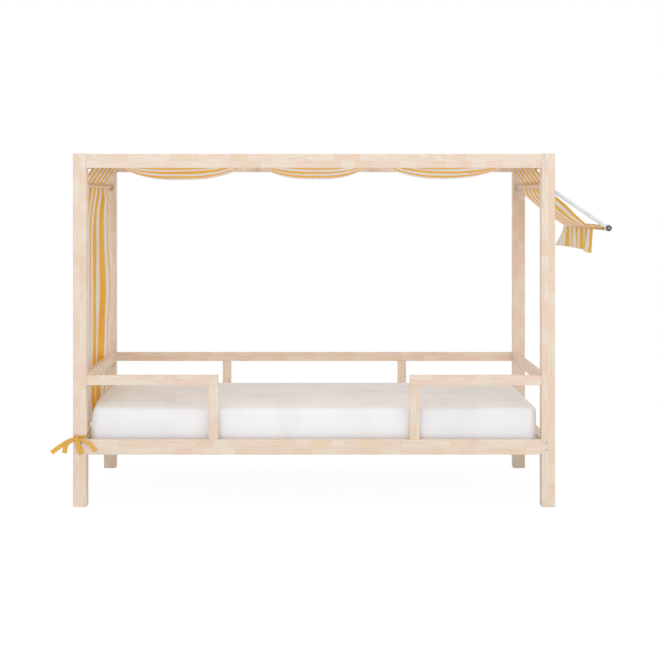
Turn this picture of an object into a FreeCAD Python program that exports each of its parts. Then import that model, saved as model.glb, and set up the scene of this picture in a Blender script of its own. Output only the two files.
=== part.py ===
import FreeCAD, Part
import math
import os
import re
import Sketcher

# House frame bed: a child's bed on four tall posts. The flat top frame carries cross poles with a
# striped cloth that sags between them, hangs down at the head and runs out over an awning at the foot.
# Lengths are in millimetres. +X runs along the bed towards the awning, +Y to the rear, +Z up.
# The origin is on the floor, in the middle of the area that the whole object covers.

driving_sizes = [
    ("bed_length", 2140, "outside the posts, along X"),
    ("bed_width", 976, "outside the posts, along Y"),
    ("bed_height", 1570, "floor to the tops of the posts"),
    ("frame_centre", -84, "X of the middle of the bed, as the awning reaches further than the ribbons"),
    ("post_width", 60, "square section of a post"),
    ("post_edge", 3, "rounding of a post's edges"),
    ("timber_edge", 2.5, "rounding of a rail's long edges"),
    ("rail_thickness", 28, "side rails and top rails, across the bed"),
    ("side_rail_height", 67, "side rails and lower end rails"),
    ("rail_underside", 233, "floor to the side rails"),
    ("end_rail_thickness", 42, "lower end rails, along the bed"),
    ("top_rail_height", 63, "rails of the top frame"),
    ("top_rail_drop", 2, "from the tops of the posts down to the top rails"),
    ("top_end_rail_thickness", 26, "end rails of the top frame, along the bed"),
    ("guard_height", 44, "guard rails, top to bottom"),
    ("guard_top", 585, "floor to the tops of the guard rails"),
    ("guard_thickness", 28, "guard rails and uprights, across the bed"),
    ("end_guard_thickness", 30, "end guard rails, along the bed"),
    ("entry_width", 850, "gap in the front guard"),
    ("upright_width", 43, "guard uprights, along the bed"),
    ("ledge_width", 25, "slat ledges, across the bed"),
    ("ledge_height", 20, "slat ledges, top to bottom"),
    ("slat_width", 70, "along the bed"),
    ("slat_thickness", 14, "top to bottom"),
    ("slat_end_gap", 2, "between a slat's end and the side rail"),
    ("end_slat_inset", 40, "from the end rail to the first slat"),
    ("mattress_gap", 10, "between the mattress and the side rails"),
    ("mattress_end_gap", 8, "between the mattress and the end guards"),
    ("mattress_height", 173, "at the crown"),
    ("mattress_crown", 5, "how much the middle rises over the edges"),
    ("mattress_draw", 4, "how far the sides are drawn in"),
    ("mattress_corner", 35, "rounding of the mattress's upright corners"),
    ("mattress_edge", 20, "rounding of the mattress's top edges"),
    ("mattress_foot_edge", 12, "rounding of the mattress's bottom edges"),
    ("canopy_pole_radius", 10, "cross poles of the top frame"),
    ("inner_pole_spacing", 580, "between the two inner cross poles"),
    ("outer_pole_inset", 45, "from the posts' inner faces to the outer cross poles"),
    ("pole_seat_depth", 9, "blind holes for the cross poles"),
    ("end_rod_radius", 10, "round rods at the head and the foot"),
    ("end_rod_drop", 141, "from the tops of the posts down to the middle of the end rods"),
    ("socket_flange_radius", 20, "sockets of the end rods"),
    ("socket_flange_thickness", 3, "screwed on the post"),
    ("socket_collar_radius", 13, "round the rod's end"),
    ("socket_depth", 14, "from the post to the collar's end"),
    ("socket_screw_offset", 16.6, "from the rod's middle to a socket screw"),
    ("awning_reach", 342, "from the end rod to the awning pole"),
    ("awning_angle", 34.2, "degrees that the awning hangs below level"),
    ("awning_pole_radius", 9.5, "outer pole of the awning"),
    ("arm_radius", 9, "tube of an awning arm"),
    ("arm_inset", 30, "from a post's inner face to an arm's middle"),
    ("arm_eye_radius", 16, "eyes at an arm's ends"),
    ("arm_eye_width", 20, "eyes, across the bed"),
    ("cap_radius", 12, "end caps of the awning pole"),
    ("cap_length", 10, "end caps, across the bed"),
    ("cap_cover", 6, "how far a cap slips over the pole"),
    ("cloth_arm_gap", 13, "between the cloth's edges and the arms' eyes"),
    ("cloth_thickness", 2, "the cloth with its hems"),
    ("cloth_clearance", 0.3, "between the cloth and what carries it"),
    ("head_belly_drop", 77.5, "from the poles' middles down to the deepest point of the belly at the head"),
    ("middle_belly_drop", 74, "the same for the middle belly"),
    ("foot_belly_drop", 72.5, "the same for the belly at the foot"),
    ("edge_belly_drop", 26.5, "the same for the front and rear edges of all three, which are more taut"),
    ("curtain_hem_height", 290, "floor to the bottom of the head curtain"),
    ("curtain_fold", 6, "how far the head curtain's folds swing out"),
    ("cloth_fall_reach", 26, "from the foot rod out to where the awning cloth bends outwards"),
    ("cloth_fall_drop", 46, "from the foot rod down to where the awning cloth bends outwards"),
    ("awning_cloth_sag", 5, "how far the awning cloth hangs below a straight line"),
    ("seam_distance", 65, "from the awning pole back to the valance seam"),
    ("valance_length", 108, "top to bottom"),
    ("valance_fold", 6, "how far the valance's folds swing out"),
    ("valance_thickness", 1.2, "one layer of cloth"),
    ("hinge_gap", 10, "between the roof cloth and the awning cloth at the foot rod"),
    ("seam_gap", 0.68, "from the seam's line down to the valance, which swings about it"),
    ("ribbon_width", 18, "tie ribbons, top to bottom where they go round a post"),
    ("ribbon_thickness", 1.2, "tie ribbons with their folds"),
    ("ribbon_lift", 1, "from the side rail up to a ribbon"),
    ("knot_radius", 8, "knots of the ribbons"),
    ("knot_offset", 9, "from the middle of the post out to the knot"),
    ("tail_width", 18, "loose ends of the ribbons, at their tips"),
    ("long_tail_reach", 110, "from the knot outwards"),
    ("short_tail_reach", 52, "from the knot outwards"),
    ("inner_tail_reach", 76, "from the knot towards the bed's middle"),
    ("tail_drop", 66, "how far the loose ends hang below the knot"),
    ("bolt_radius", 3, "shanks of the frame bolts"),
    ("bolt_head_radius", 6.5, "heads of the frame bolts"),
    ("bolt_head_height", 6, "heads of the frame bolts"),
    ("bolt_head_recess", 0.5, "how deep a head lies under the post's face"),
    ("bolt_key_radius", 2.9, "six-sided keyhole, over its corners"),
    ("bolt_key_depth", 3.5, "six-sided keyhole"),
    ("bolt_spread", 32, "between the two bolts of an end rail"),
    ("bolt_rise", 4, "from a rail's middle up to the middle of its bolts"),
    ("bolt_past_nut", 4, "how far a bolt runs past its barrel nut"),
    ("nut_radius", 5, "barrel nuts"),
    ("nut_length", 16, "barrel nuts"),
    ("nut_setback", 24, "from a rail's end to its barrel nuts"),
    ("dowel_radius", 4, "wooden dowels"),
    ("dowel_length", 30, "wooden dowels"),
    ("dowel_inset", 9, "from a rail's underside to its dowel"),
    ("guard_dowel_spread", 22, "between the two dowels of a guard rail or upright"),
    ("screw_radius", 2, "shanks of the wood screws"),
    ("screw_head_radius", 3, "countersunk heads"),
    ("screw_head_height", 2, "countersunk heads"),
    ("short_screw_length", 26, "screws of the slats and sockets"),
    ("ledge_screw_length", 38, "screws of the ledges"),
    ("hole_clearance", 0.1, "round bolts, nuts, dowels, screws and poles in their holes"),
    ("running_clearance", 0.25, "round the foot rod in the arms' eyes"),
]
slat_count = 13
roof_strips = 6
curtain_folds = 8
valance_folds = 8

doc = FreeCAD.newDocument("HouseFrameBed")
sizes = doc.addObject("Spreadsheet::Sheet", "Sizes")
for row, (alias, number, note) in enumerate(driving_sizes, start=1):
    sizes.set(f"A{row}", note)
    sizes.set(f"B{row}", str(number))
    sizes.setAlias(f"B{row}", alias)
doc.recompute()

# Places that several pieces share, as formulas of the sheet's cells. X counts from the bed's middle.
post_x = "(bed_length - post_width) / 2"
post_y = "(bed_width - post_width) / 2"
inner_x = "(bed_length / 2 - post_width)"
inner_y = "(bed_width / 2 - post_width)"
inner_length = "(bed_length - 2 * post_width)"
inner_width = "(bed_width - 2 * post_width)"
rail_y = "(bed_width - rail_thickness) / 2"
rail_face_y = "(bed_width / 2 - rail_thickness)"
guard_y = "(bed_width - guard_thickness) / 2"
end_rail_x = "(bed_length / 2 - post_width + end_rail_thickness / 2)"
top_end_rail_x = "(bed_length / 2 - post_width + top_end_rail_thickness / 2)"
end_guard_x = "(bed_length / 2 - post_width + end_guard_thickness / 2)"
side_rail_z = "(rail_underside + side_rail_height / 2)"
side_rail_top = "(rail_underside + side_rail_height)"
top_rail_z = "(bed_height - top_rail_drop - top_rail_height / 2)"
guard_z = "(guard_top - guard_height / 2)"
guard_underside = "(guard_top - guard_height)"
upright_x = "(entry_width + upright_width) / 2"
inner_pole_x = "(inner_pole_spacing / 2)"
outer_pole_x = "(bed_length / 2 - post_width - outer_pole_inset)"
ledge_top = "(rail_underside + ledge_height)"
slat_top = "(rail_underside + ledge_height + slat_thickness)"
slat_pitch = f"((bed_length - 2 * post_width - 2 * end_slat_inset - slat_width) / {slat_count - 1})"
end_rod_z = "(bed_height - end_rod_drop)"
arm_y = "(bed_width / 2 - post_width - arm_inset)"
awning_pole_half = f"({arm_y} + arm_eye_width / 2 + hole_clearance + cap_cover)"
bolt_hole = "(bolt_radius + hole_clearance)"
counterbore = "(bolt_head_radius + hole_clearance)"
counterbore_depth = "(bolt_head_height + bolt_head_recess)"
nut_hole = "(nut_radius + hole_clearance)"
dowel_hole = "(dowel_radius + hole_clearance)"
screw_hole = "(screw_radius + hole_clearance)"
dowel_depth = "(dowel_length / 2)"
bolt_depth_in_rail = "(nut_setback + nut_radius + bolt_past_nut)"
bolt_length = "(post_width - bolt_head_height - bolt_head_recess + nut_setback + nut_radius + bolt_past_nut)"

directions = {
    "+x": FreeCAD.Vector(1, 0, 0),
    "-x": FreeCAD.Vector(-1, 0, 0),
    "+y": FreeCAD.Vector(0, 1, 0),
    "-y": FreeCAD.Vector(0, -1, 0),
    "+z": FreeCAD.Vector(0, 0, 1),
    "-z": FreeCAD.Vector(0, 0, -1),
}
finished = []


def formula(text):
    """The same formula, with each size named as a cell of the sheet."""
    return re.sub(r"\b([a-z]+(?:_[a-z]+)+)\b", r"Sizes.\1", text)


def size(name):
    return float(sizes.get(name))


def bind(thing, path, text):
    thing.setExpression(path, formula(text))


def place(thing, x, y, z, turn=None):
    """Puts a thing at x, y, z of its own part's frame, turned so that its +Z points the way `turn` says."""
    if turn:
        thing.Placement.Rotation = FreeCAD.Rotation(FreeCAD.Vector(0, 0, 1), directions[turn])
    for letter, text in zip("xyz", (x, y, z)):
        bind(thing, f"Placement.Base.{letter}", text)
    return thing


def place_on_bed(thing, x, y, z, turn=None):
    return place(thing, f"frame_centre + {x}", y, z, turn)


def finish(thing, label):
    """A named sub-part, which gets a file of its own."""
    thing.Label = label
    finished.append(thing)
    return thing


def cylinder(radius, height):
    thing = doc.addObject("Part::Cylinder", "Round")
    bind(thing, "Radius", radius)
    bind(thing, "Height", height)
    return thing


def cone(radius_at_start, radius_at_end, height):
    thing = doc.addObject("Part::Cone", "Cone")
    bind(thing, "Radius1", radius_at_start)
    bind(thing, "Radius2", radius_at_end)
    bind(thing, "Height", height)
    return thing


def fused(members):
    thing = doc.addObject("Part::MultiFuse", "Fused")
    thing.Shapes = members
    return thing


def cut(blank, tools):
    thing = doc.addObject("Part::Cut", "Drilled")
    thing.Base = blank
    thing.Tool = fused(tools) if len(tools) > 1 else tools[0]
    return thing


def group(members):
    thing = doc.addObject("Part::Compound", "Group")
    thing.Links = members
    return thing


def mirrored(source, normal):
    """The same piece on the other side of the bed's middle."""
    twin = doc.addObject("Part::Mirroring", "Twin")
    twin.Source = source
    twin.Normal = directions[normal]
    bind(twin, "Base.x", "frame_centre")
    return twin


def both_ends(members):
    """The pieces, and their twins at the other end of the bed."""
    half = group(members)
    return [half, mirrored(half, "+x")]


def both_sides(members):
    """The pieces, and their twins on the other side of the bed."""
    half = group(members)
    return [half, mirrored(half, "+y")]


def drill(turn, x, y, z, radius, depth):
    """A round hole that starts at x, y, z and runs the way `turn` says."""
    return place(cylinder(radius, depth), x, y, z, turn)


def origin_plane(body, role):
    for feature in body.Origin.OriginFeatures:
        if feature.Role == role:
            return feature


def rectangle(body, role, across, high):
    """A rectangle centred on the body's origin, in one of its origin planes."""
    sketch = body.newObject("Sketcher::SketchObject", "Section")
    sketch.AttachmentSupport = [(origin_plane(body, role), "")]
    sketch.MapMode = "FlatFace"
    corners = [FreeCAD.Vector(x, y, 0) for x, y in ((-9, -9), (9, -9), (9, 9), (-9, 9))]
    for first, second in zip(corners, corners[1:] + corners[:1]):
        sketch.addGeometry(Part.LineSegment(first, second), False)
    for side in range(4):
        sketch.addConstraint(Sketcher.Constraint("Coincident", side, 2, (side + 1) % 4, 1))
    for side in (0, 2):
        sketch.addConstraint(Sketcher.Constraint("Horizontal", side))
        sketch.addConstraint(Sketcher.Constraint("Vertical", side + 1))
    sketch.addConstraint(Sketcher.Constraint("Symmetric", 0, 1, 2, 1, -1, 1))
    width = sketch.addConstraint(Sketcher.Constraint("DistanceX", 0, 1, 0, 2, 18))
    height = sketch.addConstraint(Sketcher.Constraint("DistanceY", 1, 1, 1, 2, 18))
    bind(sketch, f"Constraints[{width}]", across)
    bind(sketch, f"Constraints[{height}]", high)
    return sketch


def timber(axis, length, across, high, edge="timber_edge", middle=True, all_edges=False):
    """A straight piece of timber. A post starts at its own origin and a rail is centred on it."""
    body = doc.addObject("PartDesign::Body", "Timber")
    role = {"x": "YZ_Plane", "y": "XZ_Plane", "z": "XY_Plane"}[axis]
    pad = body.newObject("PartDesign::Pad", "Length")
    pad.Profile = rectangle(body, role, across, high)
    pad.SideType = "Symmetric" if middle else "One side"
    bind(pad, "Length", length)
    doc.recompute()
    along = directions["+" + axis]
    edges = []
    for number, edge_shape in enumerate(pad.Shape.Edges, start=1):
        runs_along = abs(edge_shape.tangentAt(edge_shape.FirstParameter).dot(along)) > 0.9
        if runs_along or all_edges:
            edges.append(f"Edge{number}")
    rounding = body.newObject("PartDesign::Fillet", "Edges")
    rounding.Base = (pad, edges)
    bind(rounding, "Radius", edge)
    return body


def bolt_and_dowel_holes(length, high, end):
    """Holes in one end of a long rail: its bolt, the barrel nut from inside, and the dowel."""
    inwards = "+x" if end < 0 else "-x"
    tip = f"{end} * {length} / 2"
    nut_x = f"{end} * ({length} / 2 - nut_setback)"
    return [
        drill(inwards, tip, "0", "bolt_rise", bolt_hole, bolt_depth_in_rail),
        drill("-y", nut_x, "rail_thickness / 2", "bolt_rise", nut_hole, "(rail_thickness + nut_length) / 2"),
        drill(inwards, tip, "0", f"dowel_inset - {high} / 2", dowel_hole, dowel_depth),
    ]


def end_rail_holes(thickness):
    """Holes in a left end rail: two bolts at each end, with their barrel nuts from inside the bed."""
    holes = []
    for end, inwards in ((-1, "+y"), (1, "-y")):
        nut_y = f"{end} * ({inner_width} / 2 - nut_setback)"
        for row in (-1, 1):
            z = f"bolt_rise + {row} * bolt_spread / 2"
            holes.append(drill(inwards, "0", f"{end} * {inner_width} / 2", z, bolt_hole, bolt_depth_in_rail))
            holes.append(drill("-x", f"{thickness} / 2", nut_y, z, nut_hole, f"({thickness} + nut_length) / 2"))
    return holes


def dowel_pair_holes(turn, x, y, z, spread_along):
    """Two dowel holes side by side. `spread_along` is the direction from one to the other."""
    holes = []
    for row in (-1, 1):
        step = f" + {row} * guard_dowel_spread / 2"
        hole_x = x + step if spread_along == "x" else x
        hole_z = z + step if spread_along == "z" else z
        holes.append(drill(turn, hole_x, y, hole_z, dowel_hole, dowel_depth))
    return holes


def post():
    """The front left post, standing on its own origin. All holes come from its outer or inner faces."""
    out = "-post_width / 2"
    inside = "post_width / 2"
    holes = []
    for z, thickness in ((side_rail_z, "end_rail_thickness"), (top_rail_z, "top_end_rail_thickness")):
        bolt_z = f"{z} + bolt_rise"
        end_bolt_x = f"(post_width - {thickness}) / 2"
        for row in (-1, 1):
            end_bolt_z = f"{bolt_z} + {row} * bolt_spread / 2"
            holes.append(drill("+y", end_bolt_x, out, end_bolt_z, bolt_hole, "post_width"))
            holes.append(drill("+y", end_bolt_x, out, end_bolt_z, counterbore, counterbore_depth))
        side_bolt_y = "(rail_thickness - post_width) / 2"
        holes.append(drill("+x", out, side_bolt_y, bolt_z, bolt_hole, "post_width"))
        holes.append(drill("+x", out, side_bolt_y, bolt_z, counterbore, counterbore_depth))
    for z, high in ((side_rail_z, "side_rail_height"), (top_rail_z, "top_rail_height")):
        dowel_z = f"{z} - {high} / 2 + dowel_inset"
        holes.append(drill("-x", inside, "(rail_thickness - post_width) / 2", dowel_z, dowel_hole, dowel_depth))
    holes += dowel_pair_holes("-x", inside, "(guard_thickness - post_width) / 2", guard_z, "z")
    holes += dowel_pair_holes("-y", "(post_width - end_guard_thickness) / 2", inside, guard_z, "z")
    for row in (-1, 1):
        z = f"{end_rod_z} + {row} * socket_screw_offset"
        depth = "short_screw_length - socket_flange_thickness"
        holes.append(drill("-y", "0", inside, z, screw_hole, depth))
    blank = timber("z", "bed_height", "post_width", "post_width", "post_edge", middle=False, all_edges=True)
    return place_on_bed(cut(blank, holes), f"-{post_x}", f"-{post_y}", "0")


def ledge_screw_places():
    """X of the ledge screws, each in the middle of every second gap between slats."""
    return [f"{slat_pitch} * {gap + 0.5 - (slat_count - 1) / 2}" for gap in range(0, slat_count - 1, 2)]


def slat_places():
    return [f"{slat_pitch} * {number - (slat_count - 1) / 2}" for number in range(slat_count)]


def front_side_rail():
    holes = []
    for end in (-1, 1):
        holes += bolt_and_dowel_holes(inner_length, "side_rail_height", end)
        holes += dowel_pair_holes("-z", f"{end} * {upright_x}", "0", "side_rail_height / 2", "x")
    screw_z = "(ledge_height - side_rail_height) / 2"
    for x in ledge_screw_places():
        depth = "ledge_screw_length - ledge_width"
        holes.append(drill("-y", x, "rail_thickness / 2", screw_z, screw_hole, depth))
    blank = timber("x", inner_length, "rail_thickness", "side_rail_height")
    return place_on_bed(cut(blank, holes), "0", f"-{rail_y}", side_rail_z)


def front_top_rail():
    holes = []
    for end in (-1, 1):
        holes += bolt_and_dowel_holes(inner_length, "top_rail_height", end)
        for x in (inner_pole_x, outer_pole_x):
            seat_radius = "canopy_pole_radius + hole_clearance"
            holes.append(drill("-y", f"{end} * {x}", "rail_thickness / 2", "0", seat_radius, "pole_seat_depth"))
    blank = timber("x", inner_length, "rail_thickness", "top_rail_height")
    return place_on_bed(cut(blank, holes), "0", f"-{rail_y}", top_rail_z)


def left_end_rail(thickness, high, x, z):
    blank = timber("y", inner_width, thickness, high)
    return place_on_bed(cut(blank, end_rail_holes(thickness)), f"-{x}", "0", z)


def front_left_guard():
    length = f"({inner_length} - entry_width) / 2"
    post_end = f"-{length} / 2"
    upright = f"({length} - upright_width) / 2"
    holes = dowel_pair_holes("+x", post_end, "0", "0", "z")
    holes += dowel_pair_holes("+z", upright, "0", "-guard_height / 2", "x")
    blank = timber("x", length, "guard_thickness", "guard_height")
    return place_on_bed(cut(blank, holes), f"-({inner_length} + entry_width) / 4", f"-{guard_y}", guard_z)


def rear_guard():
    holes = []
    for end, inwards in ((-1, "+x"), (1, "-x")):
        holes += dowel_pair_holes(inwards, f"{end} * {inner_length} / 2", "0", "0", "z")
        holes += dowel_pair_holes("+z", f"{end} * {upright_x}", "0", "-guard_height / 2", "x")
    blank = timber("x", inner_length, "guard_thickness", "guard_height")
    return place_on_bed(cut(blank, holes), "0", guard_y, guard_z)


def left_end_guard():
    holes = []
    for end, inwards in ((-1, "+y"), (1, "-y")):
        holes += dowel_pair_holes(inwards, "0", f"{end} * {inner_width} / 2", "0", "z")
    blank = timber("y", inner_width, "end_guard_thickness", "guard_height")
    return place_on_bed(cut(blank, holes), f"-{end_guard_x}", "0", guard_z)


def upright():
    """The front left guard upright. It stands on the side rail, under the guard rail."""
    height = f"({guard_underside} - {side_rail_top})"
    holes = dowel_pair_holes("+z", "0", "0", "0", "x")
    holes += dowel_pair_holes("-z", "0", "0", height, "x")
    blank = timber("z", height, "upright_width", "guard_thickness", middle=False)
    return place_on_bed(cut(blank, holes), f"-{upright_x}", f"-{guard_y}", side_rail_top)


def front_ledge():
    holes = []
    for x in ledge_screw_places():
        holes.append(drill("-y", x, "ledge_width / 2", "0", screw_hole, "ledge_width"))
        holes.append(countersink("-y", x, "ledge_width / 2", "0"))
    for x in slat_places():
        depth = "short_screw_length - slat_thickness"
        holes.append(drill("-z", x, "0", "ledge_height / 2", screw_hole, depth))
    blank = timber("x", inner_length, "ledge_width", "ledge_height")
    y = f"-({rail_face_y} - ledge_width / 2)"
    return place_on_bed(cut(blank, holes), "0", y, "rail_underside + ledge_height / 2")


def countersink(turn, x, y, z):
    """The hollow of a screw's head, with its mouth at x, y, z."""
    mouth = "screw_head_radius + hole_clearance"
    return place(cone(mouth, screw_hole, "screw_head_height"), x, y, z, turn)


def slat(x):
    screw_y = f"({rail_face_y} - ledge_width / 2)"
    holes = []
    for side in (-1, 1):
        y = f"{side} * {screw_y}"
        holes.append(drill("-z", "0", y, "slat_thickness / 2", screw_hole, "slat_thickness"))
        holes.append(countersink("-z", "0", y, "slat_thickness / 2"))
    blank = timber("y", f"2 * ({rail_face_y} - slat_end_gap)", "slat_width", "slat_thickness")
    return place_on_bed(cut(blank, holes), x, "0", f"{ledge_top} + slat_thickness / 2")


def cross_pole(x):
    length = f"2 * ({rail_face_y} + pole_seat_depth - hole_clearance)"
    return place_on_bed(cylinder("canopy_pole_radius", length), x, f"-({length}) / 2", top_rail_z, "+y")


def left_end_rod():
    length = f"{inner_width} - 2 * hole_clearance"
    return place_on_bed(cylinder("end_rod_radius", length), f"-{post_x}", f"-({length}) / 2", end_rod_z, "+y")


def socket():
    """The front left socket: a flange on the post and a collar round the rod, with two screw holes."""
    flange = cylinder("socket_flange_radius", "socket_flange_thickness")
    collar = cylinder("socket_collar_radius", "socket_depth")
    tools = [drill("+z", "0", "0", "0", "end_rod_radius + hole_clearance", "socket_depth")]
    for row in (-1, 1):
        y = f"{row} * socket_screw_offset"
        tools.append(drill("-z", "0", y, "socket_flange_thickness", screw_hole, "socket_flange_thickness"))
        tools.append(countersink("-z", "0", y, "socket_flange_thickness"))
    return place_on_bed(cut(fused([flange, collar]), tools), f"-{post_x}", f"-{inner_y}", end_rod_z, "+y")


def frame_bolt(turn, x, y, z):
    """A bolt with a six-sided keyhole. The top of its head is at x, y, z."""
    head = cylinder("bolt_head_radius", "bolt_head_height")
    shank = place(cylinder("bolt_radius", bolt_length), "0", "0", "bolt_head_height")
    key = doc.addObject("Part::Prism", "Keyhole")
    bind(key, "Circumradius", "bolt_key_radius")
    bind(key, "Height", "bolt_key_depth")
    return place_on_bed(cut(fused([head, shank]), [key]), x, y, z, turn)


def front_left_end_bolts():
    bolts = []
    for x, z in ((end_rail_x, side_rail_z), (top_end_rail_x, top_rail_z)):
        for row in (-1, 1):
            bolt_z = f"{z} + bolt_rise + {row} * bolt_spread / 2"
            bolts.append(frame_bolt("+y", f"-{x}", "bolt_head_recess - bed_width / 2", bolt_z))
    return bolts


def front_left_side_bolts():
    bolts = []
    for z in (side_rail_z, top_rail_z):
        bolt_z = f"{z} + bolt_rise"
        bolts.append(frame_bolt("+x", "bolt_head_recess - bed_length / 2", f"-{rail_y}", bolt_z))
    return bolts


def barrel_nut(turn, x, y, z):
    """A round nut across the bolt, with the bolt's hole through its middle."""
    blank = place(cylinder("nut_radius", "nut_length"), "0", "0", "-nut_length / 2")
    hole = drill("+x", "-nut_radius - hole_clearance", "0", "0", bolt_hole, "2 * (nut_radius + hole_clearance)")
    return place_on_bed(cut(blank, [hole]), x, y, z, turn)


def front_left_nuts():
    nuts = []
    for x, z in ((end_rail_x, side_rail_z), (top_end_rail_x, top_rail_z)):
        for row in (-1, 1):
            nut_z = f"{z} + bolt_rise + {row} * bolt_spread / 2"
            nut = barrel_nut("+x", f"-{x}", f"nut_setback - {inner_y}", nut_z)
            axes = (directions["+y"], directions["+z"], directions["+x"])
            nut.Placement.Rotation = FreeCAD.Rotation(*axes, "ZXY")
            nuts.append(nut)
    for z in (side_rail_z, top_rail_z):
        nuts.append(barrel_nut("+y", f"nut_setback - {inner_x}", f"-{rail_y}", f"{z} + bolt_rise"))
    return nuts


def dowel(turn, x, y, z):
    """A dowel whose middle is at x, y, z."""
    step = {"x": 0, "y": 0, "z": 0}
    step[turn[1]] = 1
    place_x = f"{x} - {step['x']} * dowel_length / 2"
    place_y = f"{y} - {step['y']} * dowel_length / 2"
    place_z = f"{z} - {step['z']} * dowel_length / 2"
    return place_on_bed(cylinder("dowel_radius", "dowel_length"), place_x, place_y, place_z, turn)


def front_left_dowels():
    """Dowels of the rails, the guard rails, the end guard and the upright at one corner of the bed."""
    dowels = []
    for z, high in ((side_rail_z, "side_rail_height"), (top_rail_z, "top_rail_height")):
        dowels.append(dowel("+x", f"-{inner_x}", f"-{rail_y}", f"{z} - {high} / 2 + dowel_inset"))
    for row in (-1, 1):
        step = f" + {row} * guard_dowel_spread / 2"
        dowels.append(dowel("+x", f"-{inner_x}", f"-{guard_y}", guard_z + step))
        dowels.append(dowel("+y", f"-{end_guard_x}", f"-{inner_y}", guard_z + step))
        dowels.append(dowel("+z", f"-{upright_x}" + step, f"-{guard_y}", side_rail_top))
        dowels.append(dowel("+z", f"-{upright_x}" + step, f"-{guard_y}", guard_underside))
    return dowels


def wood_screw(turn, x, y, z, length):
    """A countersunk screw. The top of its head is at x, y, z."""
    head = cone("screw_head_radius", "screw_radius", "screw_head_height")
    shank = cylinder("screw_radius", length)
    return place_on_bed(fused([head, shank]), x, y, z, turn)


def slat_screws():
    screw_y = f"-({rail_face_y} - ledge_width / 2)"
    return [wood_screw("-z", x, screw_y, slat_top, "short_screw_length") for x in slat_places()]


def ledge_screws():
    z = "rail_underside + ledge_height / 2"
    y = f"-({rail_face_y} - ledge_width)"
    return [wood_screw("-y", x, y, z, "ledge_screw_length") for x in ledge_screw_places()]


def socket_screws():
    screws = []
    for row in (-1, 1):
        z = f"{end_rod_z} + {row} * socket_screw_offset"
        y = f"socket_flange_thickness - {inner_y}"
        screws.append(wood_screw("-y", f"-{post_x}", y, z, "short_screw_length"))
    return screws


def awning_arm():
    """The front arm, straight from the foot rod, with an eye round the rod and one round the pole."""
    tube = place(cylinder("arm_radius", "awning_reach"), "0", "0", "0", "+x")
    rod_hole = "end_rod_radius + running_clearance"
    pole_hole = "awning_pole_radius + hole_clearance"
    eyes = []
    holes = []
    for x, hole in (("0", rod_hole), ("awning_reach", pole_hole)):
        eyes.append(place(cylinder("arm_eye_radius", "arm_eye_width"), x, "-arm_eye_width / 2", "0", "+y"))
        holes.append(place(cylinder(hole, "arm_eye_width"), x, "-arm_eye_width / 2", "0", "+y"))
    return hang_on_foot_rod(cut(fused([tube] + eyes), holes), f"-{arm_y}")


def hang_on_foot_rod(thing, y):
    """Puts a piece that is drawn level at the foot rod, tilted down by the awning's angle."""
    thing.Placement.Rotation = FreeCAD.Rotation(directions["+y"], 1)
    bind(thing, "Placement.Rotation.Angle", "awning_angle")
    for letter, text in zip("xyz", (f"frame_centre + {post_x}", y, end_rod_z)):
        bind(thing, f"Placement.Base.{letter}", text)
    return thing


def awning_pole():
    """The outer pole, which runs through both arms' outer eyes into its caps."""
    pole = place(cylinder("awning_pole_radius", f"2 * {awning_pole_half}"), "awning_reach", "0", "0", "+y")
    return hang_on_foot_rod(group([pole]), f"-{awning_pole_half}")


def pole_cap():
    """The front cap: a cup that slips over the pole's end."""
    cup = place(cylinder("cap_radius", "cap_length"), "awning_reach", "0", "0", "+y")
    start = "cap_length - cap_cover"
    bore = drill("+y", "awning_reach", start, "0", "awning_pole_radius + hole_clearance", "cap_cover")
    return hang_on_foot_rod(cut(cup, [bore]), f"cap_cover - cap_length - {awning_pole_half}")


def solid_piece(label, shape):
    """A piece whose shape is worked out here from the sheet's sizes, at the middle of the bed."""
    thing = doc.addObject("Part::Feature", label)
    thing.Shape = shape
    placement = thing.Placement
    placement.Base.x += size("frame_centre")
    thing.Placement = placement
    return finish(thing, label)


def point_at(centre, radius, degrees):
    """A point in the XZ plane, at an angle that counts from +X up towards +Z."""
    turn = math.radians(degrees)
    return FreeCAD.Vector(centre[0] + radius * math.cos(turn), 0, centre[1] + radius * math.sin(turn))


def arc_round(centre, radius, first, last):
    """An arc from the angle `first` to the angle `last`."""
    points = [point_at(centre, radius, degrees) for degrees in (first, (first + last) / 2, last)]
    return Part.Arc(*points).toShape()


def line(first, second):
    return Part.LineSegment(first, second).toShape()


def closed_outline(lower, upper):
    """The outline of two rows of edges that start and end side by side."""
    starts = [lower[0].Vertexes[0].Point, upper[0].Vertexes[0].Point]
    ends = [lower[-1].Vertexes[-1].Point, upper[-1].Vertexes[-1].Point]
    edges = lower + upper + [line(*starts), line(*ends)]
    return Part.Wire(Part.__sortEdges__(edges))


def cloth_width():
    """The cloth fits between the awning's arms, with a gap on either side."""
    arm_y = size("bed_width") / 2 - size("post_width") - size("arm_inset")
    return 2 * (arm_y - size("arm_eye_width") / 2 - size("cloth_arm_gap"))


def rod_place():
    """X and Z of the middle of the foot rod. The head rod lies at the opposite X."""
    return (size("bed_length") - size("post_width")) / 2, size("bed_height") - size("end_rod_drop")


def pole_places():
    """X of the four cross poles, and Z of their middles."""
    outer = size("bed_length") / 2 - size("post_width") - size("outer_pole_inset")
    inner = size("inner_pole_spacing") / 2
    pole_z = size("bed_height") - size("top_rail_drop") - size("top_rail_height") / 2
    return [-outer, -inner, inner, outer], pole_z


def across_bed(face):
    """The face, carried across the bed over the cloth's whole width."""
    width = cloth_width()
    solid = face.extrude(FreeCAD.Vector(0, width, 0))
    solid.translate(FreeCAD.Vector(0, -width / 2, 0))
    return solid


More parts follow.
